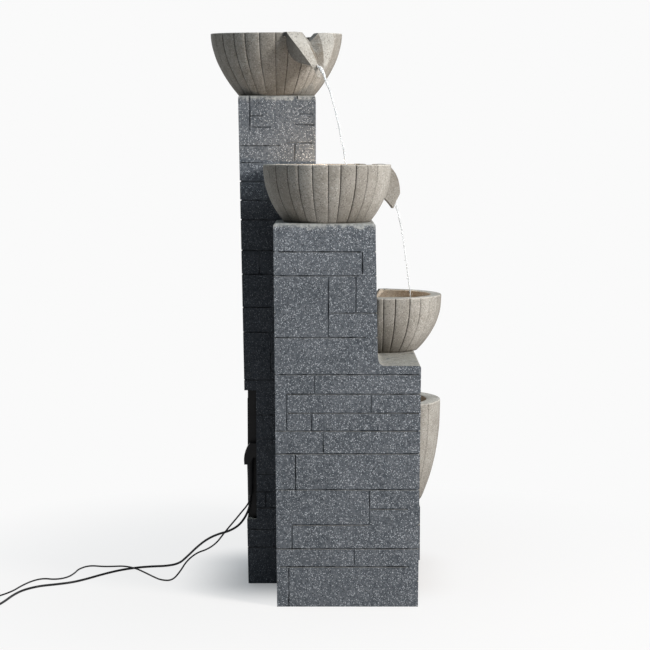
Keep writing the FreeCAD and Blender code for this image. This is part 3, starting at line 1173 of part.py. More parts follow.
# Plug of the pump cord and adapter of the lamp cord, each with its strain relief
plug_relief = rod("plug_relief", "Sizes.lead_radius + 0.4", "27", ("0", "0", "0"), TO_X)
plug_body = box("plug_body", ("26", "-12", "-6.5"), ("60", "12", "8"))
PIN_PITCH = 12.7
PIN_THICK = 1.5
pin_sides = [["%g" % (PIN_PITCH * middle + side * PIN_THICK / 2) for side in (-1, 1)]
             for middle in (-0.5, 0.5)]
plug_pins = [box("plug_pin_%d" % k, ("59", low, "-3"), ("76", high, "3"))
             for k, (low, high) in enumerate(pin_sides)]
keep(fuse("plug_whole", [plug_relief, plug_body] + plug_pins), "pump_plug")
at_cord_end(finished[-1], "pump_cord")
adapter_relief = rod("adapter_relief", "Sizes.cable_radius + 0.4", "26", ("0", "0", "0"), TO_X)
adapter_body = box("adapter_body", ("25", "-20", "-4.8"), ("83", "20", "24"))
adapter_pins = [box("adapter_pin_%d" % k, ("82", low, "7"), ("99", high, "13"))
                for k, (low, high) in enumerate(pin_sides)]
keep(fuse("adapter_whole", [adapter_relief, adapter_body] + adapter_pins), "lamp_adapter")
at_cord_end(finished[-1], "lamp_cord")

# Checks and files
doc.recompute()
os.makedirs("parts", exist_ok=True)
for obj in doc.Objects:
    if "Invalid" in obj.State or "Error" in obj.State:
        raise RuntimeError("%s failed: %s" % (obj.Name, obj.State))
total = 0
for obj in finished:
    shape = obj.Shape
    if shape.isNull() or not shape.isValid() or not shape.Solids:
        raise RuntimeError("%s has no valid solid" % obj.Label)
    shape.exportStep("parts/%s.step" % obj.Label)
    total += len(shape.Solids)
print("%d nodes, %d solids" % (len(finished), total))
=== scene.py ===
import json
import math
from dataclasses import dataclass

import bpy
from mathutils import Matrix, Vector, noise


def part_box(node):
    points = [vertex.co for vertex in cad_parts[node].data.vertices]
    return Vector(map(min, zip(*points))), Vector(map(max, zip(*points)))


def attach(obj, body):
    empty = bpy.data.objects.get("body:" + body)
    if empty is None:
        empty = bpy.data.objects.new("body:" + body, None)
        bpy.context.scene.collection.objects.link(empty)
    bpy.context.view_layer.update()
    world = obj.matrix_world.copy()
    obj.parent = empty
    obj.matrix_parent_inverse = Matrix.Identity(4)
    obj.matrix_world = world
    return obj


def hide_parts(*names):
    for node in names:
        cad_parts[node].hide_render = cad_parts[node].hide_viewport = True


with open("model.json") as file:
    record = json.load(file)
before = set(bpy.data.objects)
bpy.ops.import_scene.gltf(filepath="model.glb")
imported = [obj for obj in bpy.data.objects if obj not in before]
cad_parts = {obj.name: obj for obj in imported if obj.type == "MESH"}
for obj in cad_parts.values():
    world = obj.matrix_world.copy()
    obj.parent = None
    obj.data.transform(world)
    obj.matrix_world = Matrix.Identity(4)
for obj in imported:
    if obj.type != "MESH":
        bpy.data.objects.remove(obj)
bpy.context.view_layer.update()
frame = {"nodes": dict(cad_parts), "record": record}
MM = 0.001
ROOT = "fountain"
scene = bpy.context.scene
scene.view_settings.view_transform = "Standard"


# Camera at the photograph's angle: four fifths of the way up, six degrees down

VIEW_PLACE = (-2.972, 0, 0.7915)
VIEW_DOWN = 6.054
VIEW_LENS = 91.38

camera = bpy.data.objects.new("camera", bpy.data.cameras.new("camera"))
scene.collection.objects.link(camera)
camera.data.sensor_width = 36
camera.data.lens = VIEW_LENS
camera.location = VIEW_PLACE
camera.rotation_euler = (math.radians(90 - VIEW_DOWN), 0, math.radians(-90))
camera.data.clip_end = 60
scene.camera = camera


# Node helpers

class Nodes:
    """Fills a node tree with short calls."""

    def __init__(self, tree):
        self.tree = tree
        self.tree.nodes.clear()

    def node(self, kind, **settings):
        made = self.tree.nodes.new(kind)
        for key, value in settings.items():
            setattr(made, key, value)
        return made

    def link(self, source, socket):
        self.tree.links.new(source, socket)

    def feed(self, socket, value):
        """Sets a socket to a number or links it to an output."""
        if isinstance(value, bpy.types.NodeSocket):
            self.link(value, socket)
        else:
            socket.default_value = value

    def math(self, operation, a, b=0.0, clamp=False):
        made = self.node("ShaderNodeMath", operation=operation, use_clamp=clamp)
        for socket, value in zip(made.inputs, (a, b)):
            self.feed(socket, value)
        return made.outputs[0]

    def times(self, a, b):
        return self.math("MULTIPLY", a, b)

    def ramp(self, value, low, high, out_low=0.0, out_high=1.0):
        """Smooth step of a value between two limits."""
        made = self.node("ShaderNodeMapRange", interpolation_type="SMOOTHSTEP")
        for socket, given in zip(made.inputs, (value, low, high, out_low, out_high)):
            self.feed(socket, given)
        return made.outputs[0]

    def parts(self, vector):
        """The x, y and z of a vector."""
        made = self.node("ShaderNodeSeparateXYZ")
        self.link(vector, made.inputs[0])
        return made.outputs

    def seen_directly(self):
        """1 for rays that show the background as it is: the camera's, and those by way of gloss or glass."""
        path = self.node("ShaderNodeLightPath")
        seen = self.math("ADD", path.outputs["Is Camera Ray"], path.outputs["Is Glossy Ray"])
        return self.math("ADD", seen, path.outputs["Is Transmission Ray"], clamp=True)

    def either(self, share, first, second):
        """A shader, and another one where the share is 1."""
        made = self.node("ShaderNodeMixShader")
        self.link(share, made.inputs[0])
        self.link(first.outputs[0], made.inputs[1])
        self.link(second.outputs[0], made.inputs[2])
        return made.outputs[0]


class Shader(Nodes):
    """A material of one Principled shader, its patterns placed by the object's own coordinates."""

    def __init__(self, name):
        self.material = bpy.data.materials.new(name)
        self.material.use_nodes = True
        super().__init__(self.material.node_tree)
        self.output = self.node("ShaderNodeOutputMaterial")
        self.surface = self.node("ShaderNodeBsdfPrincipled")
        self.link(self.surface.outputs[0], self.output.inputs["Surface"])
        self.place = self.node("ShaderNodeTexCoord").outputs["Object"]

    def noise(self, scale, detail=3.0, rough=0.55):
        made = self.node("ShaderNodeTexNoise")
        self.link(self.place, made.inputs["Vector"])
        made.inputs["Scale"].default_value = scale
        made.inputs["Detail"].default_value = detail
        made.inputs["Roughness"].default_value = rough
        return made.outputs["Fac"]

    def mix(self, factor, a, b, blend="MIX"):
        made = self.node("ShaderNodeMix", data_type="RGBA", blend_type=blend)
        self.feed(made.inputs[0], factor)
        for socket, value in ((made.inputs[6], a), (made.inputs[7], b)):
            self.feed(socket, value if isinstance(value, bpy.types.NodeSocket) else (*value, 1.0))
        return made.outputs[2]

    def flecks(self, scale, share, reach, seed=0.0):
        """Small round spots: the share of cells that hold one, and their size in cells."""
        shift = self.node("ShaderNodeVectorMath", operation="ADD")
        self.link(self.place, shift.inputs[0])
        shift.inputs[1].default_value = (seed, 0.7 * seed, 0.3 * seed)
        cells = self.node("ShaderNodeTexVoronoi", feature="F1")
        self.link(shift.outputs[0], cells.inputs["Vector"])
        cells.inputs["Scale"].default_value = scale
        split = self.node("ShaderNodeSeparateColor")
        self.link(cells.outputs["Color"], split.inputs[0])
        chosen = self.math("LESS_THAN", split.outputs[0], share)
        wide = self.times(self.math("ADD", split.outputs[1], 0.35), reach)
        outward = self.math("DIVIDE", cells.outputs["Distance"], wide)
        inside = self.math("SUBTRACT", 1.0, outward, clamp=True)
        return self.times(chosen, self.ramp(inside, 0.0, 0.5))

    def along(self, vector, direction):
        """How far a vector goes along a direction."""
        made = self.node("ShaderNodeVectorMath", operation="DOT_PRODUCT")
        self.link(vector, made.inputs[0])
        made.inputs[1].default_value = direction
        return made.outputs["Value"]

    def true_normal(self):
        return self.node("ShaderNodeNewGeometry").outputs["True Normal"]

    def bump(self, height, distance, onto=None):
        made = self.node("ShaderNodeBump")
        self.link(height, made.inputs["Height"])
        made.inputs["Distance"].default_value = distance
        made.inputs["Strength"].default_value = 1.0
        if onto is not None:
            self.link(onto, made.inputs["Normal"])
        return made.outputs[0]

    def set(self, **values):
        """Sets or links sockets of the shader, by their names with _ for each space."""
        for key, value in values.items():
            socket = self.surface.inputs[key.replace("_", " ")]
            if isinstance(value, tuple) and len(value) == 3:
                value = (*value, 1.0)
            self.feed(socket, value)


def scaled(color, share):
    return tuple(share * c for c in color)


# Stone of the castings

# Depths under a face, in metres, at which a joint line starts and ends
LINE_STARTS = (0.0002, 0.0012)
LINE_ENDS = (0.0024, 0.0032)
# Cosine to a face's direction from which a surface belongs to its joint lines
LINE_FACING = (0.8, 0.95)
# A height in metres that the fountain doesn't reach
BEYOND = 9.0


def joint_depth(shader, planes):
    """How deep a point lies in the joint lines of a casting: 1 at the bottom of a line, 0 on a face."""
    deepest = None
    facing = shader.true_normal()
    for normal, offset in planes:
        depth = shader.math("SUBTRACT", offset, shader.along(shader.place, normal))
        inside = shader.times(shader.ramp(depth, *LINE_STARTS), shader.ramp(depth, *LINE_ENDS, 1.0, 0.0))
        inside = shader.times(inside, shader.ramp(shader.along(facing, normal), *LINE_FACING))
        deepest = inside if deepest is None else shader.math("MAXIMUM", deepest, inside)
    return deepest


def pillar_stone(name, planes, head=BEYOND, painted_light_from=BEYOND, painted_light_gain=1.0, nook=None):
    """Dark blue-grey stone, speckled white and black, with dirt in the joint lines.

    Above the head's height it is worn pale, and above another height it is painted brighter, as painted
    light. A nook is
    darkened as painted shade: it lies below an x, beyond a y and below its top. All of them are in metres.
    """
    shader = Shader(name)
    broad = shader.noise(14, 4, 0.6)
    fine = shader.noise(160, 5, 0.65)
    place = shader.parts(shader.place)

    base = shader.mix(shader.ramp(broad, 0.3, 0.7), (0.065, 0.074, 0.085), (0.105, 0.115, 0.129))
    base = shader.mix(shader.ramp(fine, 0.35, 0.75), base, (0.150, 0.160, 0.174))
    for scale, share, reach, seed, strength, color in (
            (430, 0.50, 0.55, 0.0, 0.7, (0.034, 0.037, 0.044)),
            (400, 0.44, 0.40, 3.1, 0.8, (0.46, 0.48, 0.51)),
            (620, 0.20, 0.45, 7.7, 0.8, (0.62, 0.64, 0.67))):
        base = shader.mix(shader.times(shader.flecks(scale, share, reach, seed), strength), base, color)

    # Ledges gather pale sand
    ledge = shader.mix(shader.ramp(fine, 0.3, 0.75), (0.25, 0.235, 0.20), (0.42, 0.40, 0.36))
    ledge = shader.mix(shader.times(shader.flecks(480, 0.35, 0.5, 9.1), 0.7), ledge, (0.10, 0.095, 0.085))
    upward = shader.ramp(shader.parts(shader.true_normal())["Z"], 0.35, 0.85)
    patchy = shader.ramp(shader.noise(70, 3), 0.22, 0.42)
    base = shader.mix(shader.times(upward, patchy), base, ledge)

    # The head is worn pale along a ragged line
    worn = shader.math("ADD", place["Z"], shader.times(shader.noise(55, 5, 0.75), 0.034))
    pale_head = shader.times(shader.ramp(worn, head + 0.0075, head + 0.0145), shader.ramp(fine, 0.25, 0.6))
    base = shader.mix(pale_head, base, shader.mix(fine, (0.15, 0.155, 0.15), (0.50, 0.50, 0.48)))
    # Painted light: above a height the stone is brightened, as if lit more strongly near its top
    upper = shader.ramp(place["Z"], painted_light_from, painted_light_from + 0.06)
    base = shader.mix(upper, base, (painted_light_gain, painted_light_gain, painted_light_gain), "MULTIPLY")

    # Joint lines are open and dark, or filled with grey grout
    filled = shader.ramp(shader.noise(30, 3, 0.6), 0.38, 0.58)
    grout = shader.mix(filled, (0.026, 0.029, 0.034), (0.20, 0.215, 0.235))
    base = shader.mix(shader.times(joint_depth(shader, planes), 0.85), base, grout)

    if nook:
        below_x, beyond_y, top = nook
        # Painted shade: the nook beside the stepped pillar is darkened where that pillar shades it
        painted_nook_shade = shader.times(shader.ramp(place["Y"], beyond_y - 0.006, beyond_y + 0.004),
                            shader.ramp(place["X"], below_x, below_x + 0.004, 1.0, 0.0))
        painted_nook_shade = shader.times(painted_nook_shade, shader.ramp(place["Z"], top - 0.05, top + 0.02, 1.0, 0.0))
        base = shader.mix(shader.times(painted_nook_shade, 0.6), base, (0.008, 0.009, 0.012))

    rough = shader.bump(shader.noise(520, 3), 0.0005, shader.bump(fine, 0.0011))
    shader.set(Base_Color=base, Roughness=shader.ramp(fine, 0.2, 0.8, 0.62, 0.86), Normal=rough,
               Specular_IOR_Level=0.08)
    return shader.material


def leaning(low, high, height, sign):
    """Plane of a face that looks along Y and leans from one place at the floor to another at its top."""
    run = (high - low) / height
    normal = Vector((0, sign, -sign * run)).normalized()
    return tuple(normal), normal.dot(Vector((0, low, 0))) * MM


def upright(x, y, place):
    """Plane of a face that looks along a level direction, at a place along it in millimetres."""
    return (x, y, 0), place * MM


# Faces of the castings that carry joint lines, as in the CAD model
tall_stone = pillar_stone(
    "tall_pillar_stone",
    [upright(-1, 0, 8), upright(1, 0, 129), upright(0, -1, -17), leaning(140.5, 155, 888, 1)],
    head=0.888, painted_light_from=0.70, painted_light_gain=1.3, nook=(-0.007, 0.084, 0.72))
stepped_stone = pillar_stone(
    "stepped_pillar_stone",
    [upright(-1, 0, 164), upright(1, 0, 164), leaning(-162, -165, 423, -1), leaning(83.5, 88, 667, 1),
     leaning(-99.7, -86, 667, -1)],
    head=0.667, painted_light_from=0.57, painted_light_gain=1.12)
plinth_stone = pillar_stone("plinth_stone", [upright(1, 0, 333), upright(0, -1, 184), upright(0, 1, -26)])


# Stone of the bowls

def bowl_stone(name, shade=1.0, stain=0.0, pale=0.6):
    """Warm grey-beige cast stone with fine dark and pale grains."""
    shader = Shader(name)
    broad = shader.noise(22, 4, 0.6)
    fine = shader.noise(240, 5, 0.65)
    base = shader.mix(shader.ramp(broad, 0.3, 0.7), scaled((0.250, 0.228, 0.198), shade),
                      scaled((0.345, 0.321, 0.287), shade))
    base = shader.mix(shader.ramp(fine, 0.4, 0.8), base, scaled((0.42, 0.40, 0.36), shade))
    base = shader.mix(shader.times(shader.flecks(520, 0.46, 0.5), 0.7), base, (0.075, 0.068, 0.058))
    base = shader.mix(shader.times(shader.flecks(460, 0.34, 0.42, 5.3), pale), base, (0.62, 0.60, 0.56))
    if stain:
        patches = shader.ramp(shader.noise(35, 4), 0.3, 0.7)
        base = shader.mix(shader.times(patches, stain), base, (0.16, 0.115, 0.07))
    tone = shader.node("ShaderNodeAttribute", attribute_name="stave_tone")
    weathered = shader.math("ADD", tone.outputs["Fac"], 0.0, clamp=True)
    base = shader.mix(weathered, base, (0.10, 0.086, 0.068))
    rough = shader.bump(shader.noise(700, 2), 0.0003, shader.bump(fine, 0.0007))
    shader.set(Base_Color=base, Roughness=shader.ramp(fine, 0.2, 0.8, 0.58, 0.82), Normal=rough,
               Specular_IOR_Level=0.12)
    return shader.material


bowl_outside = bowl_stone("bowl_stone")
# Lighter copy of the stone on the rim: partly pale wear of the rim, partly painted light on its top
bowl_rim_wear_and_light = bowl_stone("bowl_rim_stone", 1.65)
# Painted shade: darker copy of the stone for the deep grooves between staves
bowl_groove_shade = bowl_stone("bowl_groove_stone", 0.45)
bowl_shade = bowl_stone("bowl_shade_stone", 0.22, pale=0.05)
# Painted light: lighter copy of the stone for the spout's folded flaps
bowl_fold_lit = bowl_stone("bowl_fold_stone", 1.3)
bowl_inside = bowl_stone("bowl_wet_stone", 0.8, 0.55)


# Plastic, rubber, metal, water and lenses

def moulded(name, color, roughness, grain=900, depth=0.00012):
    """Moulded plastic or rubber with a fine grain."""
    shader = Shader(name)
    grain_noise = shader.noise(grain, 3)
    cloud = shader.noise(45, 3)
    base = shader.mix(shader.ramp(cloud, 0.3, 0.7), scaled(color, 0.85), scaled(color, 1.2))
    shader.set(Base_Color=base, Normal=shader.bump(grain_noise, depth), Specular_IOR_Level=0.15,
               Roughness=shader.ramp(cloud, 0.3, 0.7, roughness - 0.05, roughness + 0.07))
    return shader.material


def metal(name, color, roughness):
    shader = Shader(name)
    brushed = shader.noise(800, 2)
    shader.set(Base_Color=shader.mix(shader.noise(60), scaled(color, 0.8), color), Metallic=1.0,
               Roughness=shader.ramp(brushed, 0.3, 0.7, roughness, roughness + 0.15))
    return shader.material


WATER_REFRACTION = 1.33


def water_material():
    shader = Shader("water")
    ripple = shader.noise(60, 3)
    shader.set(Base_Color=(0.93, 0.96, 0.97), Roughness=0.04, Normal=shader.bump(ripple, 0.002),
               IOR=WATER_REFRACTION, Transmission_Weight=1.0)
    return shader.material


def falling_water_material():
    """Water broken by air, so it is whiter than still water."""
    shader = Shader("falling_water")
    foam = shader.noise(300, 3)
    shader.set(Base_Color=(0.96, 0.97, 0.97), Roughness=0.12, Normal=shader.bump(foam, 0.001),
               IOR=WATER_REFRACTION, Transmission_Weight=shader.ramp(foam, 0.4, 0.6, 0.35, 1.0))
    return shader.material


def glowing_lens():
    shader = Shader("lamp_lens")
    cells = shader.noise(400, 2)
    shader.set(Base_Color=(0.9, 0.84, 0.7), Roughness=0.25, Normal=shader.bump(cells, 0.0003),
               Transmission_Weight=0.6, Emission_Color=(1.0, 0.72, 0.38), Emission_Strength=1.6)
    return shader.material


black_plastic = moulded("black_plastic", (0.006, 0.006, 0.0065), 0.42)
black_rubber = moulded("black_rubber", (0.010, 0.010, 0.011), 0.55)
cord_black = moulded("cord_jacket", (0.009, 0.009, 0.010), 0.38, 500, 0.00006)
grey_hose = moulded("grey_hose", (0.17, 0.18, 0.19), 0.35)
steel = metal("steel", (0.56, 0.56, 0.55), 0.3)
ceramic = moulded("white_ceramic", (0.75, 0.74, 0.72), 0.2)
lens_glow = glowing_lens()
water = water_material()
falling_water = falling_water_material()

SLOT_MATERIALS = {
    "dark_stone": black_plastic, "bowl_stone": bowl_outside, "black_plastic": black_plastic,
    "black_rubber": black_rubber, "grey_hose": grey_hose, "steel": steel, "white_ceramic": ceramic,
    "lens": lens_glow,
}
OWN_MATERIALS = {"tall_pillar": tall_stone, "stepped_pillar": stepped_stone, "front_plinth": plinth_stone}
for part in frame["record"]["subparts"]:
    node = frame["nodes"][part["node"]]
    wanted = OWN_MATERIALS.get(part["node"], SLOT_MATERIALS[part["material_slot"]])
    if not node.material_slots:
        node.data.materials.append(wanted)
    for place in node.material_slots:
        place.material = wanted


# Mesh helpers

def mesh_object(name, points, faces, materials, indices=None, smooth=True):
    """Object of a mesh in millimetres; the indices say which of the materials each face has."""
    mesh = bpy.data.meshes.new(name)
    mesh.from_pydata([tuple(MM * c for c in p) for p in points], [], faces)
    for material in materials:
        mesh.materials.append(material)
    for k, polygon in enumerate(mesh.polygons):
        polygon.use_smooth = smooth
        if indices:
            polygon.material_index = indices[k]
    mesh.validate()
    obj = bpy.data.objects.new(name, mesh)
    scene.collection.objects.link(obj)
    return obj


def skin(rings):
    """Points and faces of a surface through closed rings with the same number of points."""
    count = len(rings[0])
    points = [p for ring in rings for p in ring]
    faces = []
    for r in range(len(rings) - 1):
        for k in range(count):
            j = (k + 1) % count
            faces.append((r * count + k, r * count + j, (r + 1) * count + j, (r + 1) * count + k))
    return points, faces


def soften(obj, width, segments, angle):
    """Rounds the edges of an object that turn by more than an angle in degrees."""
    bevel = obj.modifiers.new("soft_edges", "BEVEL")
    bevel.width = width * MM
    bevel.segments = segments
    bevel.limit_method = "ANGLE"
    bevel.angle_limit = math.radians(angle)
    bevel.harden_normals = True


# Bowls: staves with worn grooves, a rounded rim and a folded spout. All sizes are in millimetres.

STAVES = 28
# Shares of a stave's width, and how deep the surface lies there: 1 is the bottom of a groove
STAVE_PROFILE = ((0, 1.0), (0.018, 0.92), (0.038, 0.25), (0.08, 0.02), (0.3, -0.07),
                 (0.5, -0.10), (0.7, -0.07), (0.92, 0.02), (0.962, 0.25), (0.982, 0.92))
# Profile depth from which a point belongs to a groove, whose depth differs from stave to stave
IN_GROOVE = 0.1
# Between two neighbours whose depths add up to more than this, the groove gets a darker copy of the stone, as
# painted shade
SHADED_GROOVE = 0.8
# Depth of a whole groove on the side and at the rim
SIDE_GROOVE, RIM_GROOVE = 2.6, 2.2
# Direction from which the grooves are worn deepest
DEEPEST = math.radians(125)

# Half the width of the cut in the rim that lets a spout through, and its depth
NOTCH = 28
FLOOR_THICKNESS = 16
# Gaps between a bowl and the casting that it nests against, and between the water and its wall
CASTING_GAP, WATER_GAP = 0.2, 0.3
# Unevenness of the stone outside and inside, and height of the ripples on the water
UNEVEN_OUTSIDE, UNEVEN_INSIDE, RIPPLE = 0.35, 0.5, 0.5
# Rounding of the rim: how far inward and down its points lie, from the side to the top
EDGE = 1.6
RIM_ROUND = ((0.25, 0.7), (0.8, 0.2), (1.8, 0.0))
OUTSIDE_ROWS, INSIDE_ROWS = 22, 14
POOL_RINGS, POOL_SIDES = 14, 96
SPOUT_STEPS = 14
# A reach that nothing limits, and a cosine that counts as zero
FREE, NEAR_ZERO = 1e9, 1e-6

# Materials of a bowl and of a spout, in the order of their slots
OUTSIDE, RIM, INSIDE, GROOVE = range(4)
BOWL_MATERIALS = [bowl_outside, bowl_rim_wear_and_light, bowl_inside, bowl_groove_shade]
FOLDED, TROUGH, SHADED = RIM, INSIDE, GROOVE
SPOUT_MATERIALS = [bowl_outside, bowl_fold_lit, bowl_inside, bowl_shade]


@dataclass
class Fold:
    """Shape of a spout, from the rim to its lip. Left and right are those of a viewer who faces it.

    A section holds half the width, the start of the trough on its left and right, the depth of the trough
    and the depth of the whole.
    """

    reach: float
    drop: float
    bow: float        # how far the spout swells outward on its way down
    at_rim: tuple     # section where it crosses the rim
    at_lip: tuple     # section at its end
    hem: float        # how far the belly of its left flap hangs


@dataclass
class Bowl:
    """Sizes of one bowl, and the surface they give."""

    name: str
    radius: float         # of the outside, at the rim
    rise: float           # height from the foot to the rim
    foot_share: float     # radius at the foot, as a share of that at the rim
    curve: float          # power of the side's outline: a higher one keeps the side upright for longer
    wall: float
    centre: tuple         # x and y
    rim: float            # height of the rim
    water_down: float     # depth of the water's surface below the rim
    lee: float            # how much shallower the grooves are on the side away from the deepest
    corner: tuple = None  # x and y of the corner it nests against, and their signs towards the casting
    spout: float = None   # direction of the spout
    dip: float = 0        # how far the rim sags towards the viewer
    fold: Fold = None

    def narrowed(self, radius, share):
        """A radius at the rim, at a share of the way down to the foot."""
        share = min(max(share, 0), 1)
        return radius * (1 - (1 - self.foot_share) * share ** self.curve)

    def outer(self, depth):
        """Radius of the outside at a depth below the rim."""
        return self.narrowed(self.radius, depth / self.rise)

    def inner(self, depth):
        """Radius of the hollow at a depth below the rim."""
        return self.narrowed(self.radius - self.wall, depth / (self.rise - FLOOR_THICKNESS))

    def limit(self, angle, inset=0.0):
        """How far a bowl may reach before it meets the corner of the casting it nests against."""
        if self.corner is None:
            return FREE
        corner_x, corner_y, side_x, side_y = self.corner
        across = (corner_x - side_x * inset - self.centre[0]) * side_x
        along = (corner_y - side_y * inset - self.centre[1]) * side_y
        c = math.cos(angle) * side_x
        s = math.sin(angle) * side_y
        if (c <= NEAR_ZERO and across > 0) or (s <= NEAR_ZERO and along > 0):
            return FREE
        reach_x = across / c if across > 0 else 0
        reach_y = along / s if along > 0 else 0
        reach = max(reach_x, reach_y)
        return reach if reach > 0 else FREE

    def columns(self):
        """Angles round the bowl, each with how deep the groove between staves is there."""
        def start(stave):
            """Angle at which a stave starts: their widths differ a little."""
            return math.tau * (stave + 0.08 * math.sin(2.4 * stave)) / STAVES

        stops = []
        for k in range(STAVES):
            # Grooves differ in depth from stave to stave and round the bowl
            carved = 0.78 + 0.34 * math.sin(5.1 * k + 1.3)
            carved *= 1 - 0.72 * self.lee + self.lee * math.cos(math.tau * k / STAVES - DEEPEST)
            for share, depth in STAVE_PROFILE:
                angle = start(k) + (start(k + 1) - start(k)) * share
                stops.append((angle, depth * carved if depth > IN_GROOVE else depth))
        if self.spout is not None:
            for offset in (-NOTCH, -NOTCH / 2, 0, NOTCH / 2, NOTCH):
                stops.append((self.spout + math.asin(offset / (self.radius - self.wall / 2)), 0.0))
        return sorted((angle % math.tau, depth) for angle, depth in stops)

    def notch(self, angle):
        """How deep the rim is cut at an angle to let the spout through."""
        if self.spout is None:
            return 0.0
        turn = (angle - self.spout + math.pi) % math.tau - math.pi
        offset = abs((self.radius - self.wall / 2) * math.sin(turn))
        near_spout = abs(turn) < 1
        return max(NOTCH - offset, 0.0) if near_spout else 0.0

    def point(self, angle, radius, depth, raised=0.0):
        """Place at an angle round the bowl, a radius and a depth below the rim."""
        x = self.centre[0] + radius * math.cos(angle)
        y = self.centre[1] + radius * math.sin(angle)
        sag = self.dip * max(-math.cos(angle), 0) * max(1 - depth / self.rise, 0)
        return x, y, self.rim - depth - sag + raised

    def outside_ring(self, columns, share):
        """Points of the side at a share of the way from the rim to the foot."""
        ring = []
        for angle, groove in columns:
            top = self.notch(angle) + EDGE
            depth = top + (self.rise - top) * share
            outer = self.outer(depth)
            uneven = UNEVEN_OUTSIDE * noise.noise(Vector((angle * 3, depth * 0.05, self.radius)))
            radius = outer - SIDE_GROOVE * groove * (outer / self.radius) + uneven
            ring.append(self.point(angle, min(radius, self.limit(angle) - CASTING_GAP), depth))
        return ring

    def outer_rim_ring(self, columns, inward, down):
        """Points of the rim's outer edge, which the grooves cut too."""
        ring = []
        for angle, groove in columns:
            reach = min(self.radius - RIM_GROOVE * groove, self.limit(angle) - CASTING_GAP)
            ring.append(self.point(angle, reach - inward, self.notch(angle) + down))
        return ring

    def inner_rim_ring(self, columns, outward, down):
        """Points of the rim's inner edge."""
        ring = []
        for angle, _ in columns:
            reach = min(self.radius - self.wall, self.limit(angle, self.wall))
            ring.append(self.point(angle, reach + outward, self.notch(angle) + down))
        return ring

    def inside_ring(self, columns, share):
        """Points of the hollow at a share of the way from the rim to the floor."""
        ring = []
        for angle, _ in columns:
            top = self.notch(angle) + EDGE
            depth = top + (self.rise - FLOOR_THICKNESS - top) * share
            radius = min(self.inner(depth), self.limit(angle, self.wall))
            radius += UNEVEN_INSIDE * noise.noise(Vector((angle * 2, depth * 0.04, 3.3)))
            ring.append(self.point(angle, radius, depth))
        return ring

    def build(self):
        """The bowl from its foot over the rim to its floor, and its spout."""
        columns = self.columns()
        outside = [self.outside_ring(columns, (1 - k / OUTSIDE_ROWS) ** 0.9) for k in range(OUTSIDE_ROWS + 1)]
        rim = [self.outer_rim_ring(columns, inward, down) for inward, down in RIM_ROUND]
        inner_round = (*reversed(RIM_ROUND), (0, EDGE))
        rim += [self.inner_rim_ring(columns, outward, down) for outward, down in inner_round]
        inside = [self.inside_ring(columns, (k / INSIDE_ROWS) ** 0.85) for k in range(1, INSIDE_ROWS + 1)]
        kinds = [OUTSIDE] * len(outside) + [RIM] * len(rim) + [INSIDE] * len(inside)

        points, faces = skin(outside + rim + inside)
        count = len(columns)
        indices = []
        for k in range(len(faces)):
            row, column = divmod(k, count)
            deep = columns[column][1] + columns[(column + 1) % count][1]
            kind = kinds[row + 1]
            indices.append(GROOVE if kind == OUTSIDE and deep > SHADED_GROOVE else kind)

        foot = self.rim - self.rise
        under, floor = len(points), len(points) + 1
        last = len(points) - count
        points += [(*self.centre, foot), (*self.centre, foot + FLOOR_THICKNESS)]
        for k in range(count):
            j = (k + 1) % count
            faces += [(under, j, k), (floor, last + k, last + j)]
            indices += [OUTSIDE, INSIDE]

        obj = mesh_object(self.name + "_visual", points, faces, BOWL_MATERIALS, indices)
        self.weather(obj.data, columns, indices)
        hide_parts(self.name)
        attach(obj, ROOT)
        if self.fold:
            self.build_spout()

    def weather(self, mesh, columns, indices):
        """Gives each stave its own share of the darker tone, and the side near the foot more of it."""
        count = len(columns)
        skinned = len(indices) - 2 * count
        tones = mesh.attributes.new("stave_tone", "FLOAT", "FACE")
        for k, polygon in enumerate(mesh.polygons):
            column = k % count if k < skinned else 0
            stave = int(columns[column][0] * STAVES / math.tau)
            down = (self.rim - polygon.center.z / MM) / self.rise
            foot = 0.45 * max(down, 0) ** 4 if indices[k] == OUTSIDE else 0
            tones.data[k].value = 0.18 + 0.18 * math.sin(7.3 * stave + self.radius) + foot

    def spout_section(self, u, z, share):
        """Outline across the spout, at a distance from the bowl's axis and a height above its rim.

        It starts below the left flap, runs under the spout to the right one and comes back over the trough.
        """
        taper = share ** 1.5
        wide, left, right, shallow, deep = (
            a + (b - a) * taper for a, b in zip(self.fold.at_rim, self.fold.at_lip))
        belly = self.fold.hem * math.sin(math.pi * min(max(share, 0.06), 1) ** 0.8)
        low = max(deep * 0.5, 1.15 * belly + 1)
        under = [(-wide - 0.4 * belly, z - 1 - belly), (-wide * 0.52, z - low), (-3, z - deep + 1),
                 (3, z - deep + 1), (wide * 0.52, z - deep * 0.5), (wide, z - 1)]
        right_flap = [((wide + right) / 2, z + 0.5), (right, z)]
        trough = [(right * 0.5, z - shallow * 0.52), (0, z - shallow), (-left * 0.5, z - shallow * 0.52)]
        left_flap = [(-left, z), (-(wide + left) / 2, z + 0.5), (-wide, z - 0.4)]
        return [(u, v, h) for v, h in under + right_flap + trough + left_flap]

    def build_spout(self):
        """Two flaps folded to a V that dips over the rim and points down."""
        r = self.radius
        fold = self.fold
        # Two sections inside the rim, then those of the fold
        rings = [self.spout_section(r - self.wall - 0.5, 0.0, 0.0), self.spout_section(r - 10, 0.2, 0.0)]
        for step in range(SPOUT_STEPS + 1):
            share = step / SPOUT_STEPS
            swell = math.sin(math.pi * share)
            rings.append(self.spout_section(r - 4 + (fold.reach + 4) * share + fold.bow * swell,
                                            0.6 * fold.bow * swell - fold.drop * share, share))
        points, faces = skin(rings)
        count = len(rings[0])
        faces += [tuple(reversed(range(count))), tuple(range(len(points) - count, len(points)))]

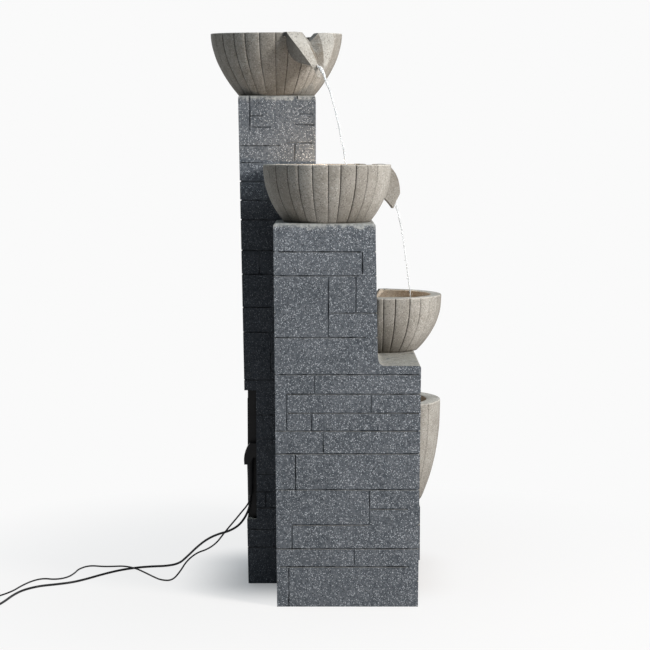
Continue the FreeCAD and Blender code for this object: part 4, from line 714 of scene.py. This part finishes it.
        c, s = math.cos(self.spout), math.sin(self.spout)
        sag = self.dip * max(-c, 0)
        points = [(self.centre[0] + u * c - v * s, self.centre[1] + u * s + v * c, self.rim - sag + h)
                  for u, v, h in points]
        belly = SHADED if fold.hem > 0 else OUTSIDE
        around = [OUTSIDE] * 5 + [FOLDED] * 2 + [TROUGH] * 4 + [FOLDED] * 2 + [belly]
        indices = around * (len(rings) - 1) + [OUTSIDE, OUTSIDE]
        obj = mesh_object(self.name + "_spout", points, faces, SPOUT_MATERIALS, indices)
        soften(obj, EDGE, 3, 35)
        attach(obj, ROOT)

    def pool(self):
        """Surface of the water in the bowl."""
        depth = self.water_down
        rings = []
        for step in range(1, POOL_RINGS + 1):
            share = step / POOL_RINGS
            ring = []
            for k in range(POOL_SIDES):
                angle = math.tau * k / POOL_SIDES
                radius = min(self.inner(depth), self.limit(angle, self.wall)) - WATER_GAP
                swell = RIPPLE * math.sin(0.55 * radius * share + 3 * math.sin(angle))
                ring.append(self.point(angle, radius * share, depth, swell))
            rings.append(ring)
        points, faces = skin(rings)
        faces = [tuple(reversed(face)) for face in faces]
        centre = len(points)
        points.append(self.point(0, 0, depth))
        faces += [(centre, k, (k + 1) % POOL_SIDES) for k in range(POOL_SIDES)]
        obj = mesh_object(self.name + "_water", points, faces, [water])
        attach(obj, ROOT)


TOP_FOLD = Fold(reach=26, drop=58, bow=4, at_rim=(48, 16, 17, 16, 40), at_lip=(16, 2, 10, 7, 22), hem=22)
LOWER_FOLD = Fold(reach=48, drop=52, bow=5, at_rim=(42, 16, 16, 24, 46), at_lip=(20, 6, 6, 7, 29), hem=0)
BOWLS = [
    Bowl("top_bowl", radius=119, rise=113, foot_share=0.565, curve=1.87, wall=18, centre=(60.5, 88), rim=1001,
         water_down=15, lee=0.36, spout=math.radians(212.3), dip=5.3, fold=TOP_FOLD),
    Bowl("upper_bowl", radius=111.3, rise=99.7, foot_share=0.67, curve=2.25, wall=18, centre=(-86, -3.6),
         rim=766.7, water_down=23, lee=0.36, corner=(-8.4, 16.6, 1, 1), spout=math.radians(-48),
         fold=LOWER_FOLD),
    Bowl("lower_bowl", radius=113, rise=103, foot_share=0.61, curve=2.3, wall=20, centre=(86, -103), rim=526,
         water_down=23, lee=0.28, corner=(-7.6, -91.4, -1, 1), spout=math.radians(8.4), fold=LOWER_FOLD),
    Bowl("basin_bowl", radius=118.2, rise=197, foot_share=0.695, curve=2.4, wall=27, centre=(251, -108.5),
         rim=305, water_down=62, lee=0.05, corner=(164.4, -165.4, -1, 1)),
]
for bowl in BOWLS:
    bowl.build()
    bowl.pool()


# Mortar, flush with the flank of the tall pillar, in the upright joint of its top course

MORTAR_FACE, MORTAR_DEPTH = -7.98, 1.9
MORTAR_SIDES = (48.12, 50.48)
MORTAR_HEIGHTS = ((737.3, 802.8), (805.2, 834.8), (837.2, 882))
MORTAR_ROWS = 24


def mortar(name, low, high):
    """Bar of mortar between two heights."""
    face, back = MORTAR_FACE, MORTAR_FACE + MORTAR_DEPTH
    right, left = MORTAR_SIDES
    rings = []
    for row in range(MORTAR_ROWS + 1):
        z = low + (high - low) * row / MORTAR_ROWS
        rings.append([(face, right, z), (face, left, z), (back, left, z), (back, right, z)])
    points, faces = skin(rings)
    faces += [(3, 2, 1, 0), tuple(range(len(points) - 4, len(points)))]
    obj = mesh_object(name, points, faces, [tall_stone], smooth=False)
    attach(obj, ROOT)


for number, (low, high) in enumerate(MORTAR_HEIGHTS, 1):
    mortar("tall_pillar_mortar_%d" % number, low, high)


# Water that falls from bowl to bowl: a broken thread with drops. All sizes are in millimetres.

STREAM_STEPS, STREAM_SIDES = 40, 10
DROPS = 26
# Share of the fall that the water's own speed gives; gravity gives the rest
PUSH = 0.3


def falling(start, end, t):
    """Where the water is at a share of the time that it takes from a spout to the next bowl."""
    x = start[0] + (end[0] - start[0]) * t
    y = start[1] + (end[1] - start[1]) * t
    z = start[2] + (end[2] - start[2]) * (PUSH * t + (1 - PUSH) * (t * t))
    return x, y, z


def stream(name, start, end, width):
    """Thread of water that gets thinner as it falls, and the drops round it."""
    rings = []
    for k in range(STREAM_STEPS + 1):
        t = k / STREAM_STEPS
        x, y, z = falling(start, end, t)
        wobble = noise.noise(Vector((x * 0.1, z * 0.06, width)))
        thinner = 0.5 + 1.5 * math.exp(-7 * t)
        pointed = min(1, 0.1 + 0.45 * k)
        uneven = 0.75 + 0.6 * abs(noise.noise(Vector((z * 0.11, 2.2, width))))
        r = width * thinner * pointed * uneven
        ring = []
        for side in range(STREAM_SIDES):
            angle = math.tau * side / STREAM_SIDES
            ring.append((x + wobble * 1.6 + r * math.cos(angle), y + wobble + r * math.sin(angle), z))
        rings.append(ring)
    points, faces = skin(rings)

    # Drops, from a quarter of the time on
    for k in range(DROPS):
        x, y, z = falling(start, end, 0.25 + 0.75 * (k / (DROPS - 1)))
        x += 5 * noise.noise(Vector((k * 1.7, 0.3, width)))
        y += 6 * noise.noise(Vector((k * 1.3, 5.1, width)))
        r = 0.9 + 0.9 * abs(noise.noise(Vector((k * 2.1, 8.8, width))))
        top = len(points)
        bottom = top + 1
        points += [(x, y, z + 1.6 * r), (x, y, z - 1.3 * r),
                   (x + r, y, z), (x, y + r, z), (x - r, y, z), (x, y - r, z)]
        for a, b in ((2, 3), (3, 4), (4, 5), (5, 2)):
            faces += [(top, top + a, top + b), (bottom, top + b, top + a)]

    obj = mesh_object(name, points, faces, [falling_water])
    smooth = obj.modifiers.new("rounded", "SUBSURF")
    smooth.levels = 1
    smooth.render_levels = 1
    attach(obj, ROOT)


stream("water_top", (-61, 13.5, 940), (-158, -41, 738), width=3.6)
stream("water_upper", (20, -123, 706), (58, -160, 497), width=3.0)
stream("water_lower", (244, -79.5, 463), (264, -77, 245), width=2.8)


# Free cords: their routes over the plinth's back to the floor, then the turns of their coils

# Turns of a coil in each of its two layers, the gap between turns, and the points on half a turn
COIL_LOOPS = 2
COIL_GAP = 1.4
COIL_POINTS = 8
# The curve runs inside its control points, so they lie further out
OUTSIDE_CURVE = 1.012


def coil_turns(start, heading, radius, middle_radius):
    """Control points of a coil that winds in on the floor and out again on top."""
    pitch = 2 * radius + COIL_GAP
    outer = middle_radius + pitch * COIL_LOOPS / 2
    half_turns = 2 * COIL_LOOPS
    spots = []
    for k in range((2 * half_turns + 2) * COIL_POINTS + 1):
        at = k / COIL_POINTS
        inward = min(at, half_turns) - max(at - half_turns - 1, 0)
        rise = min(max(at - half_turns, 0), 1)
        rise = rise * rise * (3 - 2 * rise)
        reach = (outer - pitch * inward / 2) * OUTSIDE_CURVE
        angle = -math.pi * at
        spots.append(Vector((reach * math.cos(angle), reach * math.sin(angle), radius + pitch * rise)))
    first_way = Vector((-pitch / math.tau, -outer, 0))
    turn = Matrix.Rotation(math.atan2(heading.y, heading.x) - math.atan2(first_way.y, first_way.x), 3, "Z")
    begin = start + heading * 2 * radius
    shift = Vector((begin.x, begin.y, 0)) - turn @ Vector((spots[0].x, spots[0].y, 0))
    spots = [turn @ spot + shift for spot in spots]
    last_way = (spots[-1] - spots[-2]).normalized()
    return spots + [spots[-1] + last_way * 2 * radius]


def free_cord(name, route, radius, middle_radius):
    """Cord along a route in millimetres, whose points without a height lie on the floor, with its coil.

    The middle turn of the coil has the middle radius.
    """
    points = [Vector(p) if len(p) == 3 else Vector((*p, radius)) for p in route]
    heading = (points[-1] - points[-2]).normalized()
    points += coil_turns(points[-1], heading, radius, middle_radius)
    curve = bpy.data.curves.new(name + "_line", "CURVE")
    curve.dimensions = "3D"
    curve.bevel_depth = radius * MM
    curve.bevel_resolution = 4
    curve.resolution_u = 8
    curve.use_fill_caps = True
    spline = curve.splines.new("NURBS")
    spline.points.add(len(points) - 1)
    for spot, point in zip(spline.points, points):
        spot.co = (*(MM * point), 1.0)
    spline.order_u = 3
    spline.use_endpoint_u = True
    curve.materials.append(cord_black)
    obj = bpy.data.objects.new(name + "_line", curve)
    scene.collection.objects.link(obj)
    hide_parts(name, name + "_coil")
    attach(obj, ROOT)


# Middle of the boot that both cords leave by, side by side
BOOT_X, BOOT_Y, BOOT_Z = 2.5, 136.5, 164
LAMP_CORD_X = BOOT_X - 2.6
PUMP_CORD_X = BOOT_X + 1.8
LAMP_CORD = [
    (LAMP_CORD_X, BOOT_Y, BOOT_Z), (LAMP_CORD_X, BOOT_Y, BOOT_Z - 8), (1, 143, 143), (3, 153, 131),
    (6, 163, 118), (11, 175, 103), (19, 187, 87), (27, 201, 67), (35, 219, 53), (37, 239, 46),
    (26, 257, 33), (11, 267, 18), (0, 281, 3), (9, 303), (34, 320), (60, 336), (78, 357, 6), (86, 380, 8.5),
    (96, 403, 5), (109, 424), (117, 450), (92, 467), (58, 470), (27, 479), (13, 499), (22, 523), (2, 541),
    (-33, 554), (-66, 562), (-97, 578), (-118, 599), (-128, 624)]
PUMP_CORD = [
    (PUMP_CORD_X, BOOT_Y, BOOT_Z), (PUMP_CORD_X, BOOT_Y, BOOT_Z - 13), (5, 140, 135), (6, 148, 118),
    (15, 160, 102), (24, 178, 90), (34, 200, 82), (47, 221, 69), (63, 240, 51), (83, 259, 29), (103, 277, 9),
    (111, 302), (108, 329), (99, 358), (79, 389), (44, 420), (14, 442), (-9, 464), (-23, 491), (-35, 521),
    (-62, 545), (-98, 557), (-135, 563), (-171, 573), (-201, 590), (-224, 613)]
free_cord("lamp_cord", LAMP_CORD, radius=1.5, middle_radius=18)
free_cord("pump_cord", PUMP_CORD, radius=2.1, middle_radius=25)


# Floor, world and lamps

WHITE_BACKGROUND = (0.956, 0.956, 0.956, 1)
FLOOR_COLOR = (0.865, 0.80, 0.755, 1)
AMBIENT_COLOR = (0.81, 0.97, 1.1, 1)
# Half the side of the floor, in metres
FLOOR_HALF = 9
# Part of the floor, in metres, that the fade starts from: its middle and half its length on each axis
SHADOW_SPANS = (("X", 0.065, 0.065), ("Y", 0.01, 0.11))


def floor_material():
    """White floor: it takes shadows near the object and fades to the background further out."""
    shader = Shader("floor_white")
    shader.tree.nodes.remove(shader.surface)
    diffuse = shader.node("ShaderNodeBsdfDiffuse")
    diffuse.inputs[0].default_value = FLOOR_COLOR
    glow = shader.node("ShaderNodeEmission")
    glow.inputs[0].default_value = WHITE_BACKGROUND
    place = shader.parts(shader.place)
    squares = []
    for axis, middle, half in SHADOW_SPANS:
        aside = shader.math("ABSOLUTE", shader.math("SUBTRACT", place[axis], middle))
        outside = shader.math("MAXIMUM", shader.math("SUBTRACT", aside, half), 0.0)
        squares.append(shader.times(outside, outside))
    away = shader.math("SQRT", shader.math("ADD", *squares))
    fade = shader.math("ADD", shader.ramp(away, 0.0, 0.17, 0.16, 0.82), shader.ramp(away, 0.2, 0.9, 0.0, 0.2))
    blend = shader.either(shader.times(shader.seen_directly(), fade), diffuse, glow)
    shader.link(blend, shader.output.inputs["Surface"])
    return shader.material


floor_mesh = bpy.data.meshes.new("floor")
floor_corners = [(x * FLOOR_HALF, y * FLOOR_HALF, 0) for x, y in ((-1, -1), (1, -1), (1, 1), (-1, 1))]
floor_mesh.from_pydata(floor_corners, [], [(0, 1, 2, 3)])
floor = bpy.data.objects.new("floor", floor_mesh)
floor.data.materials.append(floor_material())
scene.collection.objects.link(floor)

# The world lights mostly from overhead, and shows as the white background
world = bpy.data.worlds.new("world")
scene.world = world
world.use_nodes = True
sky = Nodes(world.node_tree)
ambient = sky.node("ShaderNodeBackground")
ambient.inputs["Color"].default_value = AMBIENT_COLOR
upward = sky.parts(sky.node("ShaderNodeTexCoord").outputs["Generated"])["Z"]
sky.link(sky.ramp(upward, 0.55, 0.8, 0.06, 0.9), ambient.inputs["Strength"])
backdrop = sky.node("ShaderNodeBackground")
backdrop.inputs["Color"].default_value = WHITE_BACKGROUND
backdrop.inputs["Strength"].default_value = 1.0
world_out = sky.node("ShaderNodeOutputWorld")
sky.link(sky.either(sky.seen_directly(), ambient, backdrop), world_out.inputs["Surface"])

# Key light: a round soft source in front of the object, on the right of the view
KEY_DISTANCE, KEY_HEIGHT, KEY_SIDE = 2.5, 1.56, math.radians(58)
KEY_TARGET = Vector((0, 0, 0.6))
key_data = bpy.data.lights.new("key", "AREA")
key_data.shape = "DISK"
key_data.size = 0.75
key_data.energy = 86
key_data.color = (1.0, 0.988, 0.97)
key = bpy.data.objects.new("key", key_data)
key.location = (-KEY_DISTANCE * math.cos(KEY_SIDE), -KEY_DISTANCE * math.sin(KEY_SIDE), KEY_HEIGHT)
key.rotation_euler = (KEY_TARGET - key.location).to_track_quat("-Z", "Y").to_euler()
key.visible_camera = False
scene.collection.objects.link(key)

# Light of the fountain's own lamps, in watts, where it leaves the water of the three lower bowls
LAMP_LIGHT = (0.36, 0.24, 0.16)
ABOVE_WATER = 0.008
for bowl, power in zip(BOWLS[1:], LAMP_LIGHT):
    low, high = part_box("lamp_lens_" + bowl.name.split("_")[0])
    glow_data = bpy.data.lights.new("glow_" + bowl.name, "POINT")
    glow_data.energy = power
    glow_data.color = (1.0, 0.78, 0.56)
    glow_data.shadow_soft_size = 0.004
    glow_lamp = bpy.data.objects.new("glow_" + bowl.name, glow_data)
    surface = MM * (bowl.rim - bowl.water_down)
    glow_lamp.location = ((low[0] + high[0]) / 2, (low[1] + high[1]) / 2, surface + ABOVE_WATER)
    glow_lamp.visible_camera = False
    glow_lamp.visible_glossy = False
    glow_lamp.visible_transmission = False
    scene.collection.objects.link(glow_lamp)
